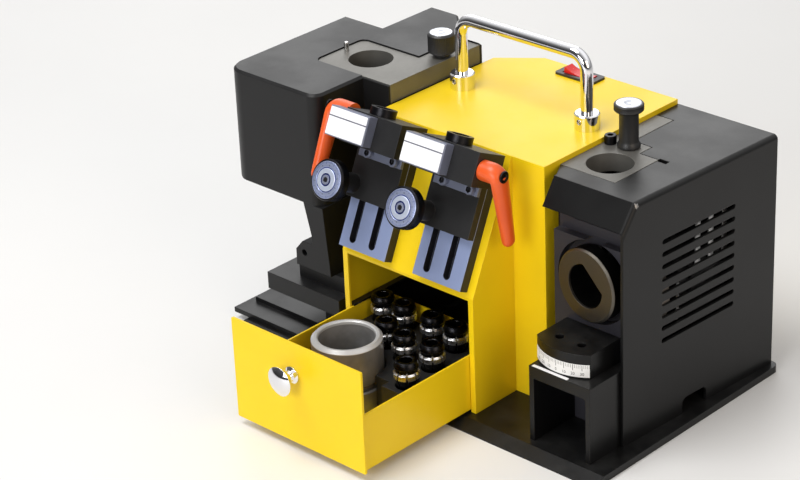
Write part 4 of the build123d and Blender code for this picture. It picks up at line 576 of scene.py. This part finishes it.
# Collets: black, with a painted highlight round their widest land
COLLET = banded_steel("collet_steel", (0.016, 0.016, 0.018), (0.80, 0.80, 0.81), 0.30, "UV", (0, 1, 0),
                      COLLET_HIGHLIGHT[0] / COLLET_TOP, COLLET_HIGHLIGHT[1] / COLLET_TOP)
# Screw heads: blue-grey outside the socket, painted shade inside it
SCREW = banded_steel("screw_steel", (0.012, 0.012, 0.014), (0.19, 0.21, 0.29), 0.36, "UV", (0, 1, 0),
                     -0.1, SOCKET_SHARE, metal=0.3)
# Rails: blue-grey front face, sides near black as painted shade
RAIL = banded_steel("anodised_blue_grey", (0.018, 0.018, 0.022), (0.285, 0.35, 0.57), 0.38, "Object",
                    PANEL_OUT, RAIL_FACE - 0.0004, RAIL_FACE + 0.001, metal=0.35)
# Fins: dark, their outer ends painted bright as the light seen through the vents
FIN = banded_steel("fin_alloy_painted_light", (0.03, 0.03, 0.03), (0.85, 0.85, 0.85), 0.40, "Object", ACROSS,
                   (MOTOR_X + FIN_PAINTED_LIGHT[0]) * MM, (MOTOR_X + FIN_PAINTED_LIGHT[1]) * MM)

ABRASIVE = moulded("bonded_abrasive", (0.16, 0.15, 0.14), (0.10, 0.095, 0.09), 0.8, 1800, 0.00012)
ORANGE = moulded("orange_plastic", (0.76, 0.104, 0.013), (0.72, 0.092, 0.012), 0.36, 700, 0.00001)
BLACK_PLASTIC = moulded("black_plastic", (0.014, 0.014, 0.015), (0.02, 0.02, 0.02), 0.42, 1600, 0.00004)
RED = moulded("red_plastic", (0.70, 0.018, 0.015), (0.62, 0.014, 0.012), 0.24, 500, 0.000008)
INK = moulded("dark_ink", (0.02, 0.02, 0.025), (0.03, 0.03, 0.035), 0.5, 1500, 0.000002)
PLAIN_WHITE = moulded("white_enamel", (0.78, 0.78, 0.78), (0.74, 0.74, 0.74), 0.4, 900, 0.000004)

DIAL_FACE = printed("graduated_alloy", (0.74, 0.82, 1.0), (0.01, 0.03, 0.20), 0.34, 0.65, dial_marks)
SCALE_WHITE = printed("scale_white", (0.82, 0.83, 0.86), (0.10, 0.10, 0.14), 0.35, 0.0, line_mark)
ARC_WHITE = printed("arc_white", (0.80, 0.80, 0.79), (0.03, 0.03, 0.03), 0.38, 0.0, degree_marks)

SLOT_FINISH = {
    "black_paint": BLACK, "black_casting": CASTING, "yellow_paint": YELLOW, "chrome_plate": CHROME,
    "ground_steel": GROUND, "spindle_steel": SPINDLE, "black_oxide": OXIDE, "anodised_black": ANODISED,
    "anodised_grey": RAIL, "dial_face": DIAL_FACE, "motor_alloy": ALLOY, "wheel_body": ABRASIVE,
    "orange_plastic": ORANGE, "black_plastic": BLACK_PLASTIC, "red_plastic": RED, "capacitor_can": ALLOY,
}
NODE_FINISH = {
    "chuck_body": CHUCK, "chuck_nut": CHUCK, "right_swivel_port": DISC, "right_face_plate": FACE_PLATE,
    "right_casing": CASE, "right_motor": CASTING, "left_motor": CASTING,
}
for side in ("left", "right"):
    NODE_FINISH[f"{side}_gauge_scale_bracket"] = GUNMETAL
    NODE_FINISH[f"{side}_gauge_clamp_bar"] = GUNMETAL
for part in frame["record"]["subparts"]:
    finish = NODE_FINISH.get(part["node"], SLOT_FINISH[part["material_slot"]])
    nodes[part["node"]].data.materials.clear()
    nodes[part["node"]].data.materials.append(finish)


def along(grids, origins, x_way, axis):
    """Every grid at every origin, turned so that its z runs along the axis."""
    return [placed(grid, np.asarray(origin, float), np.asarray(x_way, float), np.asarray(axis, float))
            for origin in origins for grid in grids]


def socket_head(radius, height, socket):
    """Cap screw head from base to socket floor: side knurled by a cosine, chamfer, then a hexagonal well."""
    number = 30
    angle = np.linspace(0, TAU, 2 * number + 1)
    ring = np.ones_like(angle)
    knurl = radius * (1 - 0.03 * (1 - np.cos(number * angle)))
    well = hexagon(angle, socket)
    rows = np.array([0.96 * radius * ring, knurl, knurl, 0.9 * radius * ring, well, well, 0 * ring])
    rise = np.array([0, 0.1, 0.86, 1, 1, 0.4, 0.4])[:, None] * height * ring
    return np.stack([rows * np.cos(angle), rows * np.sin(angle), rise], -1)


def button_head(radius, height, socket):
    """Low round screw head: a part of an ellipse from rim to crown, with a hexagonal well."""
    angle = np.linspace(0, TAU, 49)
    ring = np.ones_like(angle)
    slope = np.linspace(0, 0.33 * TAU / 2, 7)[:, None]
    well = hexagon(angle, socket)
    rows = np.vstack([radius * np.cos(slope) * ring, well[None], well[None], 0 * ring[None]])
    ends = np.array([np.sin(slope[-1, 0]), 0.3, 0.3])[:, None]
    rise = height * np.vstack([np.sin(slope), ends]) * ring
    return np.stack([rows * np.cos(angle), rows * np.sin(angle), rise], -1)


def tile(low, high, radius, thick):
    """Thin plate with round corners standing on z = 0, its upper edge drawn in a little."""
    outline = rounded_rectangle(low, high, radius)
    return outline_rows(outline, [(0, 0), (0, 0.7 * thick), (TILE_LIP, thick), (1, thick)])


def flat_uv(grid, low, high):
    """Place of each point of a flat grid between two corners, from 0 to 1 both ways."""
    return (grid[..., :2] - np.asarray(low)) / (np.asarray(high) - np.asarray(low))


def numerals(name, body, material, words, size, places):
    """Flat figures as one mesh: each word, drawn on a plane, is put at its place (origin, x way, axis)."""
    points, faces, start = [], [], 0
    for word, (origin, x_way, axis) in zip(words, places):
        curve = bpy.data.curves.new(name, "FONT")
        curve.body, curve.size, curve.align_x, curve.align_y = word, size, "CENTER", "CENTER"
        curve.resolution_u = 2
        drawn = bpy.data.objects.new(name, curve)
        outline = bpy.data.meshes.new_from_object(drawn)
        local = np.zeros(3 * len(outline.vertices))
        outline.vertices.foreach_get("co", local)
        points.append(placed(local.reshape(-1, 3), origin, x_way, axis) * MM)
        faces += [[start + index for index in face.vertices] for face in outline.polygons]
        start += len(outline.vertices)
        bpy.data.objects.remove(drawn)
        bpy.data.curves.remove(curve)
        bpy.data.meshes.remove(outline)
    mesh = bpy.data.meshes.new(name)
    mesh.from_pydata(np.concatenate(points), [], faces)
    mesh.materials.append(material)
    made = bpy.data.objects.new(name, mesh)
    bpy.context.scene.collection.objects.link(made)
    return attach(made, body)


def dial(side):
    """Graduated dial: knurled rim on a hub, a ringed face marked by its UV, a socket screw and figures."""
    u = GAUGE_U[side] + DIAL_U
    body = f"{side}_dial"
    at = panel(u, DIAL_V, 0)
    rim_rows = [(0, 30.3), (7.2, 30.3), (8, 31), (8, 37.6), (8.6, 38.1), (15.6, 38.1), (16.5, 39),
                (16.5, 39.6), (16.5, 45.4), (16.5, 46), (15.7, 46.9), (14.9, 47.0), (14.7, 46.4)]
    rim = along([knurled(rim_rows, (7, 8), 72, 0.03)], [at], ACROSS, PANEL_OUT)
    made = piece(f"{side}_dial_rim", body, OXIDE, rim)
    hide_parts(f"{side}_gauge_dial")
    face_rows = np.array([(14.8, 46.5), (14.6, 47.3), (14.2, 47.5), (10.2, 47.9), (9.8, 47.6), (9.2, 47.6),
                          (8.8, 48.2), (5.2, 48.4), (4.9, 47.6), (0, 47.6)])
    steps = 96
    turn = np.linspace(0, 1, steps + 1) * np.ones((len(face_rows), 1))
    spread = face_rows[:, :1] / DIAL_FACE_R * np.ones(steps + 1)
    face = along([turned(face_rows, steps)], [at], ACROSS, PANEL_OUT)
    made = piece(f"{side}_dial_face", body, DIAL_FACE, face, [np.stack([turn, spread], -1)])
    head = along([socket_head(3.9, 1.1, 2.0)], [panel(u, DIAL_V, DIAL_SCREW_OUT)], ACROSS, PANEL_OUT)
    piece(f"{side}_dial_screw", body, SCREW, head)
    angle = TAU / 4 - np.arange(10) * TAU / 10
    ways = np.cos(angle)[:, None] * ACROSS + np.sin(angle)[:, None] * PANEL_UP
    middle = panel(u, DIAL_V, DIAL_FIGURE_OUT)
    places = [(middle + DIAL_FIGURE_R * way, np.cross(way, PANEL_OUT), PANEL_OUT) for way in ways]
    words = [str(n) for n in range(10)]
    made = numerals(f"{side}_dial_figures", body, INK, words, DIAL_FIGURE_SIZE, places)


def lever(side, hub_side, hub_length, arm_way):
    """Clamp lever: an ellipse carried along the hub, round an elbow and down a tapering arm to its tip."""
    hub_x = GAUGE_U[side] + hub_side * (GAUGE_HALF + LEVER_GAP) + (BLOCK_OVER if hub_side > 0 else 0.0)
    origin = panel(0, LEVER_V[side], LEVER_OUT)
    arm_x = hub_x + hub_side * (hub_length - LEVER_BEND)
    across = np.array([hub_side, 0.0, 0.0])
    down = np.asarray(arm_way, float)
    flank = np.cross(across, down)
    start = np.array([hub_x, origin[1], origin[2]])
    turn_at = np.array([arm_x, origin[1], origin[2]])
    # Path and its direction: the hub's end twice, for its lip, then hub, elbow, arm and cap
    hub = start + np.linspace(0, 1, 6)[:, None] * (turn_at - LEVER_BEND * across - start)
    elbow = np.linspace(0, TAU / 4, 9)[:, None]
    bend_at = turn_at + LEVER_BEND * (-across + down)
    corner = bend_at + LEVER_BEND * (np.sin(elbow) * across - np.cos(elbow) * down)
    reach = np.linspace(0, 1, 14)[:, None]
    arm = turn_at + down * (LEVER_BEND + reach * (LEVER_REACH[side] - LEVER_BEND))
    tip = np.linspace(0, TAU / 4, 8)[1:, None]
    cap = arm[-1] + down * LEVER_TIP * np.sin(tip)
    path = np.vstack([hub[:1], hub, corner[1:], arm[1:], cap])
    bending = (np.cos(elbow) * across + np.sin(elbow) * down)[1:]
    tangent = np.vstack([across * np.ones((7, 1)), bending, down * np.ones((20, 1))])
    inner = np.cross(flank, tangent)
    # Half sizes of the ellipse: across the flank, and through the thickness
    lip, round_hub = [[LEVER_LIP]], np.full((6, 1), LEVER_HUB)
    taper = np.linspace(LEVER_HUB, LEVER_TIP, 14)[1:, None]
    wide = np.vstack([lip, round_hub, np.full((8, 1), LEVER_HUB), taper, LEVER_TIP * np.cos(tip)])
    deep = np.linspace(LEVER_HUB, LEVER_THICK[0], 9)[1:, None]
    thin = np.linspace(*LEVER_THICK, 14)[1:, None]
    thick = np.vstack([lip, round_hub, deep, thin, LEVER_THICK[1] * np.cos(tip)])
    angle = np.linspace(0, TAU, 41)[None, :, None]
    grid = path[:, None] + np.cos(angle) * (wide * flank)[:, None] + np.sin(angle) * (thick * inner)[:, None]
    floor = np.repeat(path[:1, None], 41, 1)
    made = piece(f"{side}_lever_grip", f"{side}_lever", ORANGE, [np.concatenate([floor, grid])], sharp=50)
    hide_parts(f"{side}_gauge_lever")
    button = along([socket_head(4.8, 1.4, 2.2)], [turn_at + LEVER_BUTTON * across], (0, 1, 0), across)
    piece(f"{side}_lever_button", f"{side}_lever", OXIDE, button)


def gauge_trim(side):
    """Screws of the clamp bar and the white scale plate on the bracket, in panel coordinates."""
    u = GAUGE_U[side]
    body = f"{side}_gauge"
    spots = [panel(u + place, SCREW_V, SCREW_OUT) for place in SCREW_PLACES]
    heads = along([socket_head(4.25, 4.2, 2.3)], spots, ACROSS, PANEL_OUT)
    screws = piece(f"{side}_clamp_screws", body, SCREW, heads)
    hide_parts(f"{side}_gauge_cap_screws")
    low, high = np.column_stack([BRACKET_U, BRACKET_V]) + [[PLATE_MARGIN], [-PLATE_MARGIN]]
    plate = tile(low, high, 0.8, 0.35)
    white = along([plate], [panel(u, 0, BRACKET_FACE)], ACROSS, PANEL_OUT)
    made = piece(f"{side}_scale_plate", body, SCALE_WHITE, white, [flat_uv(plate, low, high)])


def collet_set():
    """Spring collets: one turned profile, its radius cut in by narrow slots, at every seat of the rack."""
    rows = np.array([(0, 1), (5, 1), (6.3, 0), (6.6, 0.4), (9.0, 20), (10.2, 22), (10.3, 22.4), (10.3, 25.8),
                     (8.9, 27), (8.8, 27.6), (8.8, 29.6), (9.9, 31), (9.7, 32.4), (8.5, 35.7),
                     (8.1, COLLET_TOP), (5.6, COLLET_TOP), (5, 35.5), (4.8, 24)])
    steps = 256
    angle = np.linspace(0, TAU, steps + 1)
    half = TAU / COLLET_SLOTS / 2
    near = np.abs((angle + half) % (2 * half) - half) < SLOT_HALF
    outside = (rows[:, 1] > SLOT_REACH[0]) & (rows[:, 1] < SLOT_REACH[1]) & (rows[:, 0] > SLOT_FROM_R)
    grid = turned(rows, steps, np.where(near, SLOT_DEPTH, 0.0) * outside[:, None])
    height = rows[:, 1:2] / COLLET_TOP * np.ones(steps + 1)
    uv = np.stack([np.linspace(0, 1, steps + 1) * np.ones((len(rows), 1)), height], -1)
    origins = [(x, y, COLLET_SEAT) for x, y in COLLETS]
    made = piece("collet_set", "drawer", COLLET, along([grid], origins, ACROSS, UP), [uv] * len(origins))
    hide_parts("collets")


def port_knob(side, at, grip, disc):
    """Knob of a port plate: a knurled turned grip, with a bright turned disc let into its top."""
    made = piece(f"{side}_knob_grip", f"{side}_knob", BLACK_PLASTIC, along([grip], [at], ACROSS, UP))
    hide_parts(f"{side}_port_knob")
    bright = along([turned(disc, 72)], [at], ACROSS, UP)
    piece(f"{side}_knob_disc", f"{side}_knob", KNOB_TOP, bright)


def port_knobs():
    """Low knurled knob of the left plate and mushroom knob of the right one, by their turned profiles."""
    rows = [(0, 0.3), (6.6, 0.3), (7.4, 1), (7.4, 2.6), (9.8, 3.2), (11, 4.2), (11, 5), (11, 17.8),
            (11, 18.6), (9.9, 20), (9.2, 20.2), (9.0, 19.8)]
    disc = [(9.1, 19.6), (9.1, 20.3), (8.7, 20.5), (3, 20.4), (2.4, 19.9), (0, 19.9)]
    port_knob("left", LEFT_KNOB, knurled(rows, (6, 7), 48, 0.05), disc)
    rows = [(0, 0.3), (8.4, 0.3), (9, 1), (9, 2.6), (7.9, 4.4), (7.5, 6), (7.5, 27), (8.2, 29.4), (10.6, 30),
            (11.5, 31), (11.5, 31.6), (11.5, 34.6), (11.5, 35.2), (10.8, 36), (9.9, 36.1), (9.7, 35.8)]
    disc = [(9.8, 35.6), (9.8, 36.2), (9.4, 36.45), (3, 36.3), (2.4, 35.8), (0, 35.8)]
    port_knob("right", RIGHT_KNOB, knurled(rows, (10, 11), 60, 0.03), disc)


def arc_strip():
    """White strip on the arc block: a cylinder patch just outside its curved front, marked, with figures."""
    steps = 60
    angle = np.radians(ARC_MIDDLE + np.linspace(-ARC_SPAN / 2, ARC_SPAN / 2, steps))
    levels = np.array([(0.0, ARC_Z[0]), (STRIP_THICK, ARC_Z[0] + STRIP_EDGE),
                       (STRIP_THICK, ARC_Z[1] - STRIP_EDGE), (0.0, ARC_Z[1])])
    radius = ARC_R + levels[:, :1]
    grid = np.stack([SWIVEL[0] + radius * np.cos(angle), SWIVEL[1] + radius * np.sin(angle),
                     levels[:, 1:] * np.ones_like(angle)], -1)
    share = np.linspace(0, 1, steps) * np.ones((len(levels), 1))
    uv = np.stack([share, np.array([0, 0.02, 0.98, 1])[:, None] * np.ones(steps)], -1)
    piece("arc_strip", "machine", ARC_WHITE, [grid], [uv])
    tens = np.arange(-30, 31, 10)
    turn = np.radians(ARC_MIDDLE + tens)
    ways = np.stack([np.cos(turn), np.sin(turn), 0 * turn], -1)
    middle = np.array([*SWIVEL, ARC_Z[0] + ARC_FIGURE_RISE])
    places = [(middle + (ARC_R + ARC_FIGURE_OUT) * way, np.cross(UP, way), way) for way in ways]
    words = [str(abs(n)) for n in tens]
    numerals("arc_figures", "machine", INK, words, ARC_FIGURE_SIZE, places)


def stand_strip():
    """Plain white strip along the front edge of the stand's top: a thin plate with round corners."""
    strip = along([tile(*STAND_STRIP, 0.4, 0.25)], [(0, 0, STAND_TOP)], ACROSS, UP)
    piece("stand_strip", "machine", PLAIN_WHITE, strip)


def motor_fins():
    """Upright cooling fins of the right motor: rounded slabs that stand between the motor and the vents."""
    grids = []
    for y, width, low, high in FINS:
        outline = rounded_rectangle((MOTOR_X + FIN_REACH[0], low), (MOTOR_X + FIN_REACH[1], high), 3)
        levels = [(1, 0), (0.01, 0), (0, FIN_LIP), (0, width - FIN_LIP), (0.01, width), (1, width)]
        grids += along([outline_rows(outline, levels)], [(0, y + width / 2, 0)], ACROSS, (0, -1, 0))
    piece("motor_fins", "machine", FIN, grids)


def fasteners():
    """Screws of the fixed covers: button heads round the rear cover, one cap screw on the right plate."""
    cover = [(x, COVER_FACE, z) for x in COVER_SCREW_X for z in COVER_SCREW_Z]
    heads = along([button_head(3.4, 2.0, 1.2)], cover, ACROSS, (0, 1, 0))
    piece("cover_screws", "machine", OXIDE, heads)
    plate = along([socket_head(4.8, 7.0, 2.2)], [PLATE_SCREW], ACROSS, UP)
    piece("plate_screw", "machine", OXIDE, plate)


for side in ("left", "right"):
    dial(side)
    gauge_trim(side)
lever("left", hub_side=-1, hub_length=26.0, arm_way=-PANEL_UP)
lever("right", hub_side=1, hub_length=20.5, arm_way=(0, np.sin(LEVER_LEAN), -np.cos(LEVER_LEAN)))
collet_set()
port_knobs()
arc_strip()
stand_strip()
motor_fins()
fasteners()

# Studio: pale floor, and white surroundings that light evenly but are mirrored dark in front
FLOOR_HALF = 6.0
corners = [(x * FLOOR_HALF, y * FLOOR_HALF, 0) for x, y in ((-1, -1), (1, -1), (1, 1), (-1, 1))]
floor_mesh = bpy.data.meshes.new("floor")
floor_mesh.from_pydata(corners, [], [(0, 1, 2, 3)])
floor = bpy.data.objects.new("floor", floor_mesh)
bpy.context.scene.collection.objects.link(floor)
floor_finish, floor_tree, floor_skin = begin("floor_paper")
sheet = use(floor_tree, GRAIN, Scale=60.0, Tone_Scale=3.0)
paper = floor_tree.mix(sheet["Tone"], (0.78, 0.775, 0.765, 1), (0.765, 0.76, 0.75, 1))
floor_tree.feed(floor_skin["Base Color"], paper)
floor_skin["Roughness"].default_value = 0.6
floor_mesh.materials.append(floor_finish)

AMBIENT = 0.35
world = bpy.data.worlds.new("studio")
bpy.context.scene.world = world
world.use_nodes = True
sky = Tree(world.node_tree)
background = world.node_tree.nodes["Background"]
path = sky.add("LightPath").outputs
way = sky.add("SeparateXYZ", {0: sky.add("TexCoord").outputs["Generated"]}).outputs
upwards = sky.ramp(way["Z"], -0.05, 0.75, 0.25, 1.15)
backwards = sky.ramp(way["Y"], -0.75, 0.35, 0.12, 1.0)
extra = sky.math("SUBTRACT", sky.math("MULTIPLY", upwards, backwards), AMBIENT)
lit = sky.math("ADD", sky.math("MULTIPLY", path["Is Glossy Ray"], extra), AMBIENT)
sky.feed(background.inputs["Color"], (1.0, 1.0, 1.0, 1))
sky.feed(background.inputs["Strength"], sky.math("MAXIMUM", lit, path["Is Camera Ray"]))


def posed(right, up, back, at):
    """Matrix of an object at a place, from the directions of its x, y and z axes."""
    return Matrix(np.vstack([np.column_stack([right, up, back, at]), (0, 0, 0, 1)]).tolist())


def soft_lamp(name, at, look_at, size, power, tint=(1.0, 1.0, 1.0)):
    """Square area lamp at a place, turned to look at a point."""
    data = bpy.data.lights.new(name, "AREA")
    data.energy, data.size, data.color = power, size, tint
    lamp = bpy.data.objects.new(name, data)
    back = np.array(at, float) - np.array(look_at, float)
    back /= np.linalg.norm(back)
    side = np.cross(UP, back)
    side /= np.linalg.norm(side)
    lamp.matrix_world = posed(side, np.cross(back, side), back, at)
    bpy.context.scene.collection.objects.link(lamp)


# Lamps: a soft key above, one in front, a weak warm fill at the right, and one behind that the tops mirror
soft_lamp("key", (-0.45, -0.80, 2.2), (0, 0, 0.1), 1.2, 36)
soft_lamp("front", (0.4, -2.6, 1.1), (0, 0, 0.1), 1.2, 30)
soft_lamp("fill", (1.8, -0.4, 0.9), (0.1, 0, 0.1), 1.0, 9, tint=(1.0, 0.82, 0.64))
soft_lamp("back", (-1.5, 1.5, 1.15), (0, 0, 0.1), 1.6, 13)

# Camera: turned by the azimuth, dipped by the elevation, then rolled
level_right = np.array([np.cos(AZIMUTH), np.sin(AZIMUTH), 0.0])
ahead = np.array([-np.sin(AZIMUTH), np.cos(AZIMUTH), 0.0])
forward = np.cos(ELEVATION) * ahead - np.sin(ELEVATION) * UP
level_up = np.cross(level_right, forward)
right = level_right * np.cos(ROLL) + level_up * np.sin(ROLL)
up = level_up * np.cos(ROLL) - level_right * np.sin(ROLL)
camera_data = bpy.data.cameras.new("photo_view")
camera_data.lens, camera_data.sensor_width, camera_data.clip_start = LENS, SENSOR, 0.05
camera = bpy.data.objects.new("photo_view", camera_data)
camera.matrix_world = posed(right, up, -forward, CAMERA_AT)
bpy.context.scene.collection.objects.link(camera)
bpy.context.scene.camera = camera
bpy.context.scene.view_settings.view_transform = "Standard"
